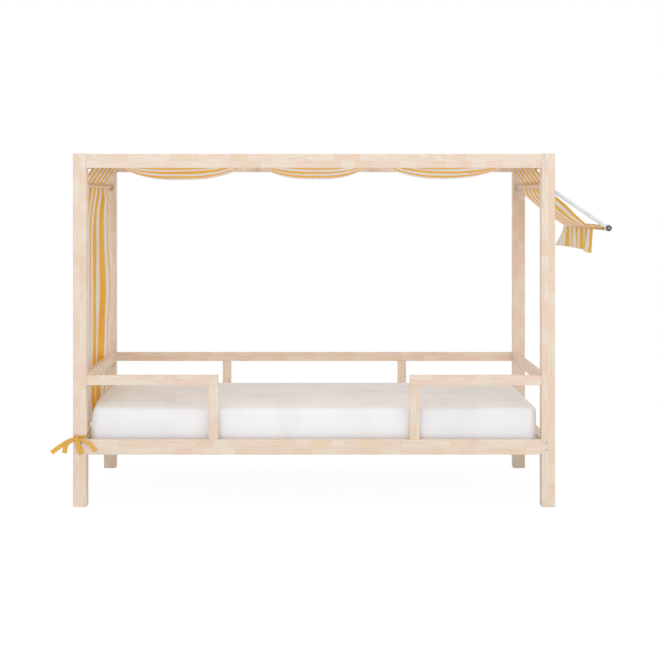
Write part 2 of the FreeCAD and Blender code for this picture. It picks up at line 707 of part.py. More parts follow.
def fall_normal():
    """The angle that the cloth's straight fall from an outer pole to an end rod faces."""
    poles, pole_z = pole_places()
    rod_x, rod_z = rod_place()
    distance = math.hypot(pole_z - rod_z, rod_x - poles[-1])
    fall = math.degrees(math.atan2(pole_z - rod_z, rod_x - poles[-1]))
    lean = math.degrees(math.asin((size("canopy_pole_radius") - size("end_rod_radius")) / distance))
    return 90 - fall + lean


def belly_drops(share):
    """How far the three bellies hang below the poles' middles, from the front edge, where the share is 0,
    to the rear edge, where it is 1. They are deepest halfway, as in a hammock."""
    edge = size("edge_belly_drop")
    deepest = [size("head_belly_drop"), size("middle_belly_drop"), size("foot_belly_drop")]
    towards_middle = 1 - abs(2 * share - 1) ** 1.3
    return [edge + (middle - edge) * towards_middle for middle in deepest]


def roof_cloth_edges(level, share):
    """One side of the cloth over the poles, `level` from the poles: straight falls to the end rods,
    arcs over the poles, and between them sags that meet those arcs without a kink."""
    poles, pole_z = pole_places()
    rod_x, rod_z = rod_place()
    pole_ring = size("canopy_pole_radius") + level
    rod_ring = size("end_rod_radius") + level
    normal = fall_normal()
    arrive = 180 - normal
    head_rod = (-rod_x, rod_z)
    edges = [arc_round(head_rod, rod_ring, 180, arrive)]
    edges.append(line(point_at(head_rod, rod_ring, arrive), point_at((poles[0], pole_z), pole_ring, arrive)))
    for left, right, drop in zip(poles, poles[1:], belly_drops(share)):
        depth = drop - level + size("cloth_clearance")
        span = (right - left) / 2
        radius = (span**2 + depth**2 - pole_ring**2) / (2 * (pole_ring + depth))
        leave = math.degrees(math.atan2(radius - depth, span))
        edges.append(arc_round((left, pole_z), pole_ring, arrive, leave))
        begin = point_at((left, pole_z), pole_ring, leave)
        end = point_at((right, pole_z), pole_ring, 180 - leave)
        lowest = FreeCAD.Vector((left + right) / 2, 0, pole_z - depth)
        edges.append(Part.Arc(begin, lowest, end).toShape())
        arrive = 180 - leave
    foot_pole = (poles[-1], pole_z)
    edges.append(arc_round(foot_pole, pole_ring, arrive, normal))
    downhill = FreeCAD.Vector(math.sin(math.radians(normal)), 0, -math.cos(math.radians(normal)))
    stop = point_at((rod_x, rod_z), rod_ring, normal) - downhill * size("hinge_gap")
    edges.append(line(point_at(foot_pole, pole_ring, normal), stop))
    return edges


def roof_cloth():
    """The cloth over the poles, as strips between upright outlines from the front edge to the rear one."""
    clearance = size("cloth_clearance")
    outlines = []
    for number in range(roof_strips + 1):
        share = number / roof_strips
        lower = roof_cloth_edges(clearance, share)
        upper = roof_cloth_edges(clearance + size("cloth_thickness"), share)
        outline = closed_outline(lower, upper)
        outline.translate(FreeCAD.Vector(0, (share - 0.5) * cloth_width(), 0))
        outlines.append(outline)
    return Part.makeLoft(outlines, True, True)


def fold_ring(x, z, swing, count, thick):
    """A closed level outline of a hanging cloth at the height z. Its middle line runs across the bed in
    arcs that swing out to either side of x, or straight."""
    width = cloth_width()
    step = width / count
    half = thick / 2
    front = []
    back = []
    for number in range(count):
        side = 1 if number % 2 else -1
        start_y = number * step - width / 2
        for row, edge_x in ((front, x - half), (back, x + half)):
            start = FreeCAD.Vector(edge_x, start_y, z)
            middle = FreeCAD.Vector(edge_x + side * swing, start_y + step / 2, z)
            end = FreeCAD.Vector(edge_x, start_y + step, z)
            row.append(Part.Arc(start, middle, end).toShape() if swing else line(start, end))
    ends = [
        line(FreeCAD.Vector(x - half, y, z), FreeCAD.Vector(x + half, y, z)) for y in (-width / 2, width / 2)
    ]
    return Part.Wire(Part.__sortEdges__(front + back + ends))


def hanging_cloth(top, hem, swing, count, thick):
    """Cloth that hangs from a straight line and opens into folds towards its hem. Both lines are given
    by their X and Z."""
    rings = [fold_ring(*top, 0, count, thick), fold_ring(*hem, swing, count, thick)]
    return Part.makeLoft(rings, True, True)


def head_curtain():
    """The cloth from the outer side of the head rod down, outside the head's rails."""
    rod_x, rod_z = rod_place()
    top_x = rod_x + size("end_rod_radius") + size("cloth_clearance") + size("cloth_thickness") / 2
    top = (-top_x, rod_z - size("cloth_clearance"))
    hem = (-curtain_hem_x(), size("curtain_hem_height"))
    return hanging_cloth(top, hem, size("curtain_fold"), curtain_folds, size("cloth_thickness"))


def curtain_hem_x():
    """From the bed's middle to the middle line of the curtain's hem, whose folds clear the end rail."""
    rail_face = size("bed_length") / 2 - size("post_width") + size("end_rail_thickness")
    return rail_face + size("cloth_clearance") + size("cloth_thickness") / 2 + size("curtain_fold")


def awning_frame():
    """Where the awning's parts are at rest: the rod, the pole and the seam, as X and Z."""
    rod = rod_place()
    pole = point_at(rod, size("awning_reach"), -size("awning_angle"))
    seam = (pole.x - size("seam_distance"), pole.z)
    return rod, (pole.x, pole.z), seam


def sagging_arc(start, end, sag):
    """An arc that hangs by `sag` below the straight line from start to end."""
    chord = end - start
    below = FreeCAD.Vector(chord.z, 0, -chord.x).normalize()
    return Part.Arc(start, start + chord * 0.5 + below * sag, end).toShape()


def awning_cloth():
    """The cloth from the foot rod down to the seam, and the flat sleeve from the seam round the pole."""
    rod, pole, seam = awning_frame()
    clearance = size("cloth_clearance")
    thick = size("cloth_thickness")
    normal = fall_normal()
    rows = []
    for level in (clearance, clearance + thick):
        ring = size("end_rod_radius") + level
        fall_start = point_at(rod, ring, 0)
        bend = FreeCAD.Vector(rod[0] + size("cloth_fall_reach") + level, 0, rod[1] - size("cloth_fall_drop"))
        end = FreeCAD.Vector(seam[0], 0, seam[1] + level)
        fall = sagging_arc(fall_start, bend, size("awning_cloth_sag"))
        slope = sagging_arc(bend, end, size("awning_cloth_sag"))
        rows.append([arc_round(rod, ring, normal, 0), fall, slope])
    band = Part.Face(closed_outline(*rows))
    ring = size("awning_pole_radius") + clearance + thick
    lap = 10  # degrees short of the pole's top and bottom where the sleeve leaves it
    tip = FreeCAD.Vector(seam[0], 0, seam[1] + clearance)
    top_tip = FreeCAD.Vector(seam[0], 0, seam[1] + clearance + thick)
    corners = [tip, top_tip, point_at(pole, ring, 90 + lap), point_at(pole, ring, 270 - lap), tip]
    sleeve = Part.Face(Part.makePolygon(corners))
    middle = FreeCAD.Vector(pole[0], 0, pole[1])
    disc = Part.Face(Part.Wire(Part.makeCircle(ring, middle, directions["+y"])))
    bore_radius = size("awning_pole_radius") + size("hole_clearance")
    bore = Part.Face(Part.Wire(Part.makeCircle(bore_radius, middle, directions["+y"])))
    parts = [across_bed(face) for face in (band, sleeve, disc)]
    return parts[0].multiFuse(parts[1:]).cut(across_bed(bore)).removeSplitter()


def awning_valance():
    _, _, seam = awning_frame()
    top = (seam[0], seam[1] - size("seam_gap"))
    hem = (seam[0], top[1] - size("valance_length"))
    return hanging_cloth(top, hem, size("valance_fold"), valance_folds, size("valance_thickness"))


def ribbon_tail(knot, reach):
    """A loose end that leaves the knot sideways, bends down in an arc and widens to its tip."""
    drop = size("tail_drop")
    side = math.copysign(1, reach)
    rows = []
    for edge in (-1, 1):
        tip = edge * size("tail_width") / 2
        root = tip / 2
        start = FreeCAD.Vector(knot.x, knot.y, knot.z + root)
        end = FreeCAD.Vector(knot.x + reach + side * tip, knot.y, knot.z - drop + tip / 2)
        bulge = FreeCAD.Vector(side * (drop / 6 + root), 0, drop / 6 + root)
        rows.append(Part.Arc(start, (start + end) * 0.5 + bulge, end).toShape())
    return Part.Face(closed_outline([rows[0]], [rows[1]]))


def tie_ribbon():
    """The front ribbon: a band round the head post, a strap to the curtain's corner, a knot and its tails."""
    post_y = (size("bed_width") - size("post_width")) / 2
    post_middle = FreeCAD.Vector(-rod_place()[0], -post_y, 0)
    bottom = size("rail_underside") + size("side_rail_height") + size("ribbon_lift")
    thick = size("ribbon_thickness")
    clearance = size("hole_clearance")
    high = size("ribbon_width")
    inner = size("post_width") / 2 + clearance
    outer = inner + thick
    corner = FreeCAD.Vector(post_middle.x - outer, post_middle.y - outer, bottom)
    band = Part.makeBox(2 * outer, 2 * outer, high, corner)
    hole_corner = FreeCAD.Vector(post_middle.x - inner, post_middle.y - inner, bottom)
    hole = Part.makeBox(2 * inner, 2 * inner, high, hole_corner)
    strap_start = -cloth_width() / 2 - clearance
    strap_length = strap_start - (post_middle.y + inner)
    strap_corner = FreeCAD.Vector(-curtain_hem_x() - thick / 2, post_middle.y + inner, bottom)
    strap = Part.makeBox(thick, strap_length, high, strap_corner)
    front = post_middle.y - inner
    knot_radius = size("knot_radius")
    knot = FreeCAD.Vector(post_middle.x - size("knot_offset"), front, bottom + high / 2)
    knot_shape = Part.makeSphere(knot_radius, knot)
    in_front = Part.makeBox(4 * knot_radius, 2 * knot_radius, 4 * knot_radius)
    in_front.translate(knot - FreeCAD.Vector(2 * knot_radius, 2 * knot_radius, 2 * knot_radius))
    knot_shape = knot_shape.common(in_front)
    layer_step = 1.5 * thick
    tails = []
    reaches = (-size("long_tail_reach"), -size("short_tail_reach"), size("inner_tail_reach"))
    for layer, reach in enumerate(reaches, start=1):
        tail = ribbon_tail(knot, reach).extrude(FreeCAD.Vector(0, -thick, 0))
        tail.translate(FreeCAD.Vector(0, -layer * layer_step, 0))
        tails.append(tail)
    return band.cut(hole).multiFuse([strap, knot_shape] + tails)


def mattress():
    """Level outlines from the underside up, one on the other: a small rounding below, straight sides, a
    larger rounding above and a shallow crown."""
    length = 2 * (size("bed_length") / 2 - size("post_width") - size("mattress_end_gap"))
    width = 2 * (size("bed_width") / 2 - size("rail_thickness") - size("mattress_gap"))
    base = size("rail_underside") + size("ledge_height") + size("slat_thickness")
    crown = size("mattress_crown")
    shoulder = size("mattress_height") - crown
    edge = size("mattress_edge")
    foot = size("mattress_foot_edge")
    rings = []
    for degrees in (0, 45, 90):
        turn = math.radians(degrees)
        rings.append((foot * (1 - math.sin(turn)), foot * (1 - math.cos(turn))))
    for degrees in (0, 30, 60, 90):
        turn = math.radians(degrees)
        rings.append((edge * (1 - math.cos(turn)), shoulder - edge + edge * math.sin(turn)))
    for share in (0.2, 0.5, 0.9):
        rings.append((edge + share * (width / 2 - edge), shoulder + crown * (1 - (1 - share) ** 2)))
    outlines = []
    for inset, height in rings:
        outline = plan_outline(length - 2 * inset, width - 2 * inset, inset / width)
        outline.translate(FreeCAD.Vector(0, 0, base + height))
        outlines.append(outline)
    return Part.makeLoft(outlines, True, True)


def plan_outline(long, wide, inwards):
    """Level outline: round corners, with sides that are drawn in a little in their middles. Corner and
    draw shrink by the share `inwards`, which is 0 at the mattress's sides."""
    corner = size("mattress_corner") * (1 - inwards)
    draw = size("mattress_draw") * (1 - inwards)
    half_long = long / 2
    half_wide = wide / 2
    diagonal = corner * (1 - math.sqrt(0.5))
    edges = []
    for side in (-1, 1):
        edges.append(
            Part.Arc(
                FreeCAD.Vector(corner - half_long, side * half_wide, 0),
                FreeCAD.Vector(0, side * (half_wide - draw), 0),
                FreeCAD.Vector(half_long - corner, side * half_wide, 0),
            ).toShape()
        )
        edges.append(
            Part.Arc(
                FreeCAD.Vector(side * half_long, corner - half_wide, 0),
                FreeCAD.Vector(side * (half_long - draw / 2), 0, 0),
                FreeCAD.Vector(side * half_long, half_wide - corner, 0),
            ).toShape()
        )
        for other in (-1, 1):
            edges.append(
                Part.Arc(
                    FreeCAD.Vector(side * (half_long - corner), other * half_wide, 0),
                    FreeCAD.Vector(side * (half_long - diagonal), other * (half_wide - diagonal), 0),
                    FreeCAD.Vector(side * half_long, other * (half_wide - corner), 0),
                ).toShape()
            )
    return Part.Wire(Part.__sortEdges__(edges))


# Timber frame
post_front_left = finish(post(), "post_front_left")
post_front_right = finish(mirrored(post_front_left, "+x"), "post_front_right")
finish(mirrored(post_front_left, "+y"), "post_rear_left")
finish(mirrored(post_front_right, "+y"), "post_rear_right")

side_rail_front = finish(front_side_rail(), "side_rail_front")
finish(mirrored(side_rail_front, "+y"), "side_rail_rear")
end_rail_left = left_end_rail("end_rail_thickness", "side_rail_height", end_rail_x, side_rail_z)
finish(end_rail_left, "end_rail_left")
finish(mirrored(end_rail_left, "+x"), "end_rail_right")

top_rail_front = finish(front_top_rail(), "top_rail_front")
finish(mirrored(top_rail_front, "+y"), "top_rail_rear")
top_end_rail_left = left_end_rail("top_end_rail_thickness", "top_rail_height", top_end_rail_x, top_rail_z)
finish(top_end_rail_left, "top_end_rail_left")
finish(mirrored(top_end_rail_left, "+x"), "top_end_rail_right")

guard_rail_front_left = finish(front_left_guard(), "guard_rail_front_left")
finish(mirrored(guard_rail_front_left, "+x"), "guard_rail_front_right")
finish(rear_guard(), "guard_rail_rear")
guard_end_left = finish(left_end_guard(), "guard_end_left")
finish(mirrored(guard_end_left, "+x"), "guard_end_right")
upright_front_left = finish(upright(), "guard_upright_front_left")
upright_front_right = finish(mirrored(upright_front_left, "+x"), "guard_upright_front_right")
finish(mirrored(upright_front_left, "+y"), "guard_upright_rear_left")
finish(mirrored(upright_front_right, "+y"), "guard_upright_rear_right")

# Slats and mattress
slat_ledge_front = finish(front_ledge(), "slat_ledge_front")
finish(mirrored(slat_ledge_front, "+y"), "slat_ledge_rear")
for number, x in enumerate(slat_places(), start=1):
    finish(slat(x), f"slat_{number:02d}")
solid_piece("mattress", mattress())

# Poles, rods and sockets
for number, x in enumerate((f"-{outer_pole_x}", f"-{inner_pole_x}", inner_pole_x, outer_pole_x), start=1):
    finish(cross_pole(x), f"canopy_pole_{number}")
end_rod_left = finish(left_end_rod(), "end_rod_left")
finish(mirrored(end_rod_left, "+x"), "end_rod_right")
finish(group(both_sides(both_ends([socket()]))), "rod_sockets")

# Awning
arm_front = finish(awning_arm(), "awning_arm_front")
finish(mirrored(arm_front, "+y"), "awning_arm_rear")
finish(awning_pole(), "awning_pole")
finish(group(both_sides([pole_cap()])), "awning_pole_caps")

# Cloth
solid_piece("roof_cloth", roof_cloth())
solid_piece("head_curtain", head_curtain())
solid_piece("awning_cloth", awning_cloth())
solid_piece("awning_valance", awning_valance())
tie_ribbon_front = solid_piece("tie_ribbon_front", tie_ribbon())
finish(mirrored(tie_ribbon_front, "+y"), "tie_ribbon_rear")

# Fasteners
finish(group(both_sides(both_ends(front_left_end_bolts()))), "end_rail_bolts")
finish(group(both_sides(both_ends(front_left_side_bolts()))), "side_rail_bolts")
finish(group(both_sides(both_ends(front_left_nuts()))), "barrel_nuts")
finish(group(both_sides(both_ends(front_left_dowels()))), "dowels")
finish(group(both_sides(both_ends(socket_screws()) + slat_screws())), "short_screws")
finish(group(both_sides(ledge_screws())), "ledge_screws")

doc.recompute()
for thing in doc.Objects:
    if "Invalid" in thing.State or "Error" in thing.State:
        raise RuntimeError(f"{thing.Name} ({thing.Label}) failed: {thing.State}")
for thing in finished:
    if thing.Shape.isNull() or not thing.Shape.isValid() or not thing.Shape.Solids:
        raise RuntimeError(f"{thing.Label} has no sound shape")

os.makedirs("parts", exist_ok=True)
for thing in finished:
    thing.Shape.exportStep(f"parts/{thing.Label}.step")
print(len(finished), "sub-parts written")
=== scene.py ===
import math

import bpy
import numpy as np
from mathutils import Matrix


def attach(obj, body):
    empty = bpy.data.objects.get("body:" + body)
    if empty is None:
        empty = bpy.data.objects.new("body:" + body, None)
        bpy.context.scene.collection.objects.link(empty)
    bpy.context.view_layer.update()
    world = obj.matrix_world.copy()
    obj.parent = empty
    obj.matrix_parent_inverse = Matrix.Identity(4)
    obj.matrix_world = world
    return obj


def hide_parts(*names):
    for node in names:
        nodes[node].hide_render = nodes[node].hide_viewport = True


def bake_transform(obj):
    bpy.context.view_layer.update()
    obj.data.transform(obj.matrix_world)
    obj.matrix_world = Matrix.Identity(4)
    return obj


# lengths are in metres: +X along the bed from the head to the awning, +Y to the rear, +Z up
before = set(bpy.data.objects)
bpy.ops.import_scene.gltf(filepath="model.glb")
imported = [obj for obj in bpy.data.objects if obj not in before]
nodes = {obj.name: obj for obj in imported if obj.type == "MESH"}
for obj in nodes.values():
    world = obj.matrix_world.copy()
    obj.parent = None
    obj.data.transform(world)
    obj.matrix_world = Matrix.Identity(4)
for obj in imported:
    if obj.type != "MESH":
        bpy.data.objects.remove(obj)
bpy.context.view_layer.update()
print("frame loaded:", len(nodes), "nodes")


def tone(red, green, blue):
    # 0 to 255 as a screen shows it, turned into the linear values that a shader takes
    screen = np.array([red, green, blue]) / 255
    linear = np.where(screen > 0.04045, ((screen + 0.055) / 1.055) ** 2.4, screen / 12.92)
    return (*linear.tolist(), 1.0)


def addNode(tree, kind, values=None, **settings):
    made = tree.nodes.new("ShaderNode" + kind)
    for name, value in settings.items():
        setattr(made, name, value)
    for name, value in (values or {}).items():
        if isinstance(value, bpy.types.NodeSocket):
            tree.links.new(value, made.inputs[name])
        else:
            made.inputs[name].default_value = value
    return made


def maths(operation, *values):
    # one step of shader arithmetic, in the node tree that its sockets are from
    tree = next(value.id_data for value in values if isinstance(value, bpy.types.NodeSocket))
    return addNode(tree, "Math", dict(enumerate(values)), operation=operation).outputs[0]


def plus(first, second):
    return maths("ADD", first, second)


def minus(first, second):
    return maths("SUBTRACT", first, second)


def times(first, second):
    return maths("MULTIPLY", first, second)


def over(first, second):
    return maths("DIVIDE", first, second)


def positive(value):
    return maths("ABSOLUTE", value)


def mixed(share, first, second):
    return addNode(share.id_data, "Mix", {0: share, 6: first, 7: second}, data_type="RGBA").outputs[2]


def ramp(value, low, high, lowest=0.0, highest=1.0):
    # a smooth step from lowest to highest while the value goes from low to high
    values = {"Value": value, "From Min": low, "From Max": high, "To Min": lowest, "To Max": highest}
    return addNode(value.id_data, "MapRange", values, interpolation_type="SMOOTHSTEP").outputs[0]


def noise(vector, scale, detail=2.0, roughness=0.5):
    values = {"Vector": vector, "Scale": scale, "Detail": detail, "Roughness": roughness}
    return addNode(vector.id_data, "TexNoise", values).outputs[0]


def cleared(owner):
    # the empty node tree of a material or of the world
    owner.use_nodes = True
    owner.node_tree.nodes.clear()
    return owner.node_tree


def newMaterial(name):
    material = bpy.data.materials.new(name)
    tree = cleared(material)
    shader = addNode(tree, "BsdfPrincipled")
    addNode(tree, "OutputMaterial", {"Surface": shader.outputs[0]})
    return material, tree, shader


def finished(tree, shader, colour, roughness, height, depth):
    # what every finish ends with: its colour, its gloss and its relief
    relief = addNode(tree, "Bump", {"Height": height, "Distance": depth, "Strength": 1.0}).outputs[0]
    for name, value in (("Base Color", colour), ("Roughness", roughness), ("Normal", relief)):
        tree.links.new(value, shader.inputs[name])


def meshOf(name, points, quads, layers):
    # one mesh from a list of points, a list of four-cornered faces, and UV layers with one pair per point
    mesh = bpy.data.meshes.new(name)
    mesh.vertices.add(len(points))
    mesh.vertices.foreach_set("co", points.astype(np.float32).ravel())
    mesh.loops.add(quads.size)
    mesh.loops.foreach_set("vertex_index", quads.astype(np.int32).ravel())
    mesh.polygons.add(len(quads))
    mesh.polygons.foreach_set("loop_start", np.arange(0, quads.size, 4, dtype=np.int32))
    mesh.polygons.foreach_set("use_smooth", np.ones(len(quads), bool))
    for layer, pairs in layers.items():
        made = mesh.uv_layers.new(name=layer)
        made.data.foreach_set("uv", pairs[quads.ravel()].astype(np.float32).ravel())
    mesh.update(calc_edges=True)
    mesh.validate()
    piece = bpy.data.objects.new(name, mesh)
    bpy.context.scene.collection.objects.link(piece)
    return piece


def gridQuads(number):
    # the corners of each cell of a grid of point numbers
    cells = [number[:-1, :-1], number[:-1, 1:], number[1:, 1:], number[1:, :-1]]
    return np.stack(cells, axis=-1).reshape(-1, 4)


def slope(points, axis):
    return np.gradient(points, axis=axis)


def unit(vectors):
    return vectors / np.maximum(np.linalg.norm(vectors, axis=-1, keepdims=True), 1e-12)


def pointsOf(mesh):
    flat = np.empty(len(mesh.vertices) * 3, np.float32)
    mesh.vertices.foreach_get("co", flat)
    return flat.reshape(-1, 3).astype(float)


def clothSurface(middle, across, along, side, end, thick, hemThick=None, hemWide=0.0):
    # a sheet with real thickness: the middle surface moved half its thickness to either side along its
    # normal, thicker where a side or end edge is nearer than the hem's width, and closed at its rim
    step = 0.002  # the width in which a hem's extra thickness fades
    rows, columns = middle.shape[:2]
    normal = unit(np.cross(slope(middle, 0), slope(middle, 1)))
    fold = np.clip((hemWide + step - np.minimum(side, end)) / step, 0, 1)
    half = (thick + ((hemThick or thick) - thick) * fold)[..., None] / 2
    points = np.concatenate([(middle + normal * half).reshape(-1, 3), (middle - normal * half).reshape(-1, 3)])
    count = rows * columns
    number = np.arange(count).reshape(rows, columns)
    cells = gridQuads(number)
    border = np.concatenate([number[0, :-1], number[:-1, -1], number[-1, :0:-1], number[:0:-1, 0]])
    after = np.roll(border, -1)
    rim = np.stack([after, border, border + count, after + count], axis=-1)
    quads = np.concatenate([cells, cells[:, ::-1] + count, rim])
    layers = [np.stack(np.broadcast_arrays(*pair), axis=-1) for pair in ((across, along), (side, end))]
    return points, quads, *(np.tile(layer.reshape(-1, 2), (2, 1)) for layer in layers)


def clothPiece(name, finish, surfaces):
    # one mesh of one or more surfaces, their points and faces put one after the other
    points, quads, patterns, edges = zip(*surfaces)
    starts = np.cumsum([0] + [len(each) for each in points])
    quads = np.concatenate([faces + start for faces, start in zip(quads, starts)])
    layers = {"cloth": np.concatenate(patterns), "edges": np.concatenate(edges)}
    print(f"{name}: {len(quads) * 2} triangles")
    piece = meshOf(name, np.concatenate(points), quads, layers)
    piece.data.materials.append(finish)
    return piece


def lengthAlong(points):
    # the distance walked along the rows, for each column
    steps = np.linalg.norm(np.diff(points, axis=0), axis=-1)
    return np.concatenate([np.zeros((1, points.shape[1])), np.cumsum(steps, axis=0)])


def waves(share, periods, phases, sizes):
    # a sum of sines of one share, each with its own number of periods, phase and size
    turns = np.asarray(share)[..., None] * np.array(periods) + np.array(phases)
    return (np.sin(2 * np.pi * turns) * np.array(sizes)).sum(-1)


def eased(value, low, high):
    # 0 at the low value, 1 at the high one, and a smooth step between; the low one may be the larger
    share = np.clip((value - low) / (high - low), 0, 1)
    return share * share * (3 - 2 * share)


def bell(value, middle, reach):
    # 1 at the middle, a third at the reach to either side, and nearly 0 at twice the reach
    return np.exp(-(((value - middle) / reach) ** 2))


def foldsOf(settings, share):
    # how far a cloth's folds stand out, for each share of its width
    return waves(share, settings["folds"], settings["foldPhases"], settings["foldSizes"])


def spread(share, width, shape):
    # each point's place across the bed, and how far it is from the cloth's front edge and its nearer side edge
    across = np.broadcast_to(share * width, shape)
    return across - width / 2, across, np.minimum(across, width - across)


pineLooks = {
    "base": (236, 223, 208),
    "pink": (236, 212, 199),
    "honey": (230, 209, 182),
    "late": (216, 182, 152),
    "lamella": {"x": 0.03342, "y": 0.03342, "z": 0.0325},
    "start": {"x": 0.2665, "y": 0.2665, "z": -1.124},
    "block": 0.33,
    "finger": 0.010,
    "fingerPitch": 0.0056,
    "ring": 0.0046,
    "pithOut": (0.38, 0.06),  # how far outside the timber the pith lies, and how much that varies
    "pithUp": 0.15,
    "wander": 0.034,
    "grainDepth": 0.00018,
}


def pine(name, axis, looks, jointed=True, shift=0.0):
    # solid timber: each lamella and each finger-jointed block in it has its own tone and its own pith, and
    # the rings are the distance to that pith, bent by noise that is long along the grain
    material, tree, shader = newMaterial(name)
    place = addNode(tree, "TexCoord").outputs["Object"]
    parts = addNode(tree, "SeparateXYZ", {0: place})
    along = parts.outputs["XYZ".index(axis.upper())]
    wide = parts.outputs["X" if axis == "z" else "Z"]
    deep = parts.outputs["X" if axis == "y" else "Y"]
    fromStart = minus(wide, looks["start"][axis])
    layer = maths("FLOOR", over(fromStart, looks["lamella"][axis]))
    if not jointed:
        layer = maths("FLOOR", over(plus(wide, 0.4), 0.29))
    zigzag = maths("PINGPONG", wide, looks["fingerPitch"] / 2)
    finger = times(zigzag, looks["finger"] / looks["fingerPitch"] * 2)
    position = over(plus(along, finger), looks["block"] if jointed else 7.0)
    half = maths("GREATER_THAN", deep, 0.0)
    seed = plus(times(layer, 7.31), times(half, 3.77))
    position = plus(position, plus(seed, shift))
    block = addNode(tree, "TexVoronoi", {"W": position, "Randomness": 0.8}, voronoi_dimensions="1D")
    random = addNode(tree, "SeparateColor", {0: block.outputs["Color"]})
    first, second, third = random.outputs
    offset = times(second, 9.0)

    def drawnOut(perAlong, perAcross):
        # the place in a pattern that is long along the grain, moved on by the block's own offset
        values = {
            0: plus(times(along, perAlong), offset),
            1: times(wide, perAcross),
            2: times(deep, perAcross),
        }
        return addNode(tree, "CombineXYZ", values).outputs[0]

    bend = noise(drawnOut(1.6, 14.0), 1.0, 3.0)
    wander = times(minus(bend, 0.5), looks["wander"])
    fromPith = minus(fromStart, times(layer, looks["lamella"][axis]))
    pithUp = times(minus(first, 0.4), looks["pithUp"])
    fromPith = minus(fromPith, pithUp)
    out, change = looks["pithOut"]
    pithOut = plus(out, times(third, change))
    aside = minus(positive(deep), pithOut)
    square = plus(times(fromPith, fromPith), times(aside, aside))
    radius = plus(maths("SQRT", square), wander)
    ring = maths("FRACT", over(radius, looks["ring"]))
    late = times(ramp(ring, 0.35, 0.9), ramp(ring, 0.9, 1.0, 1.0, 0.0))
    fibre = noise(drawnOut(14.0, 520.0), 1.0, 3.0, 0.6)
    cloud = noise(drawnOut(5.0, 46.0), 1.0, 2.0)
    colour = mixed(ramp(second, 0.35, 0.85), tone(*looks["base"]), tone(*looks["pink"]))
    colour = mixed(ramp(third, 0.5, 1.0, 0.0, 0.75), colour, tone(*looks["honey"]))
    colour = mixed(ramp(cloud, 0.35, 0.75, 0.0, 0.35), colour, tone(*looks["honey"]))
    colour = mixed(times(late, 0.34), colour, tone(*looks["late"]))
    colour = mixed(ramp(fibre, 0.35, 0.8, 0.0, 0.22), colour, tone(*looks["late"]))
    height = plus(fibre, times(late, 0.6))
    finished(tree, shader, colour, ramp(fibre, 0.2, 0.8, 0.42, 0.6), height, looks["grainDepth"])
    return material


clothLooks = {
    "yellow": (255, 219, 108),
    "deepYellow": (254, 208, 86),
    "white": (250, 247, 243),
    "translucent": 0.5,
    "stripe": 0.061,
    "firstStripe": 0.024,
    "thread": 0.0011,
    "stitch": 0.0032,
    "hemLine": 0.013,
    "weaveDepth": 0.00022,
}


def weave(across, along, thread):
    # plain weave: threads of one direction and of the other lie on top by turns, like a chessboard
    warp = positive(maths("SINE", times(across, math.pi / thread)))
    weft = positive(maths("SINE", times(along, math.pi / thread)))
    column = maths("FLOOR", over(across, thread))
    row = maths("FLOOR", over(along, thread))
    turn = maths("MODULO", positive(plus(column, row)), 2.0)
    return plus(times(turn, warp), times(minus(1.0, turn), weft))


def stripedCloth(name, looks, striped=True):
    # cotton canvas with yarn-dyed stripes of one width, a sewn line along each hem, and slubs in its threads
    material, tree, shader = newMaterial(name)
    pattern = addNode(tree, "SeparateXYZ", {0: addNode(tree, "UVMap", uv_map="cloth").outputs[0]})
    edges = addNode(tree, "SeparateXYZ", {0: addNode(tree, "UVMap", uv_map="edges").outputs[0]})
    across, along = pattern.outputs[0], pattern.outputs[1]
    threads = weave(across, along, looks["thread"])
    slubs = {0: times(across, 700.0), 1: times(along, 18.0), 2: 0.0}
    slubAt = addNode(tree, "CombineXYZ", slubs).outputs[0]
    slub = noise(slubAt, 1.0, 2.0)
    cloudAt = addNode(tree, "CombineXYZ", {0: across, 1: along, 2: 0.3}).outputs[0]
    cloud = noise(cloudAt, 9.0, 3.0)
    yellow = mixed(ramp(cloud, 0.3, 0.75), tone(*looks["yellow"]), tone(*looks["deepYellow"]))
    colour = yellow
    if striped:
        shifted = minus(across, looks["firstStripe"])
        wobble = times(minus(slub, 0.5), 0.0016)
        phase = maths("FRACT", over(plus(shifted, wobble), 2 * looks["stripe"]))
        away = positive(minus(phase, 0.5))
        white = ramp(away, 0.243, 0.257, 1.0, 0.0)
        colour = mixed(white, yellow, tone(*looks["white"]))
    # painted shade: up to a fifth darker brown between the threads, where the weave dips
    colour = mixed(ramp(threads, 0.0, 0.5, 0.2, 0.0), colour, tone(150, 118, 78))
    colour = mixed(ramp(slub, 0.55, 0.85, 0.0, 0.14), colour, tone(255, 244, 224))

    def sewnLine(fromEdge):
        away = positive(minus(fromEdge, looks["hemLine"]))
        return ramp(away, 0.0004, 0.0009, 1.0, 0.0)

    def dashes(place):
        return ramp(maths("PINGPONG", place, looks["stitch"] / 2), 0.0003, 0.0005)

    sideLine, endLine = sewnLine(edges.outputs[0]), sewnLine(edges.outputs[1])
    sideThread = times(sideLine, dashes(along))
    thread = maths("MAXIMUM", sideThread, times(endLine, dashes(across)))
    groove = maths("MAXIMUM", sideLine, endLine)
    # painted shade: up to a quarter darker brown in the groove along each sewn line
    colour = mixed(times(groove, 0.25), colour, tone(160, 120, 70))
    colour = mixed(times(thread, 0.8), colour, tone(246, 236, 214))
    shader.inputs["Sheen Weight"].default_value = 0.15
    shader.inputs["Sheen Roughness"].default_value = 0.5
    height = plus(threads, times(slub, 0.5))
    height = minus(height, times(groove, 1.5))
    finished(tree, shader, colour, ramp(threads, 0.0, 1.0, 0.92, 0.74), height, looks["weaveDepth"])
    through = addNode(tree, "BsdfTranslucent", {"Color": colour})
    both = addNode(tree, "MixShader", {0: looks["translucent"], 1: shader.outputs[0], 2: through.outputs[0]})
    tree.links.new(both.outputs[0], tree.nodes["Material Output"].inputs["Surface"])
    return material


sheetLooks = {"white": (245, 246, 248), "shade": (237, 238, 241), "thread": 0.0012, "depth": 0.00012}


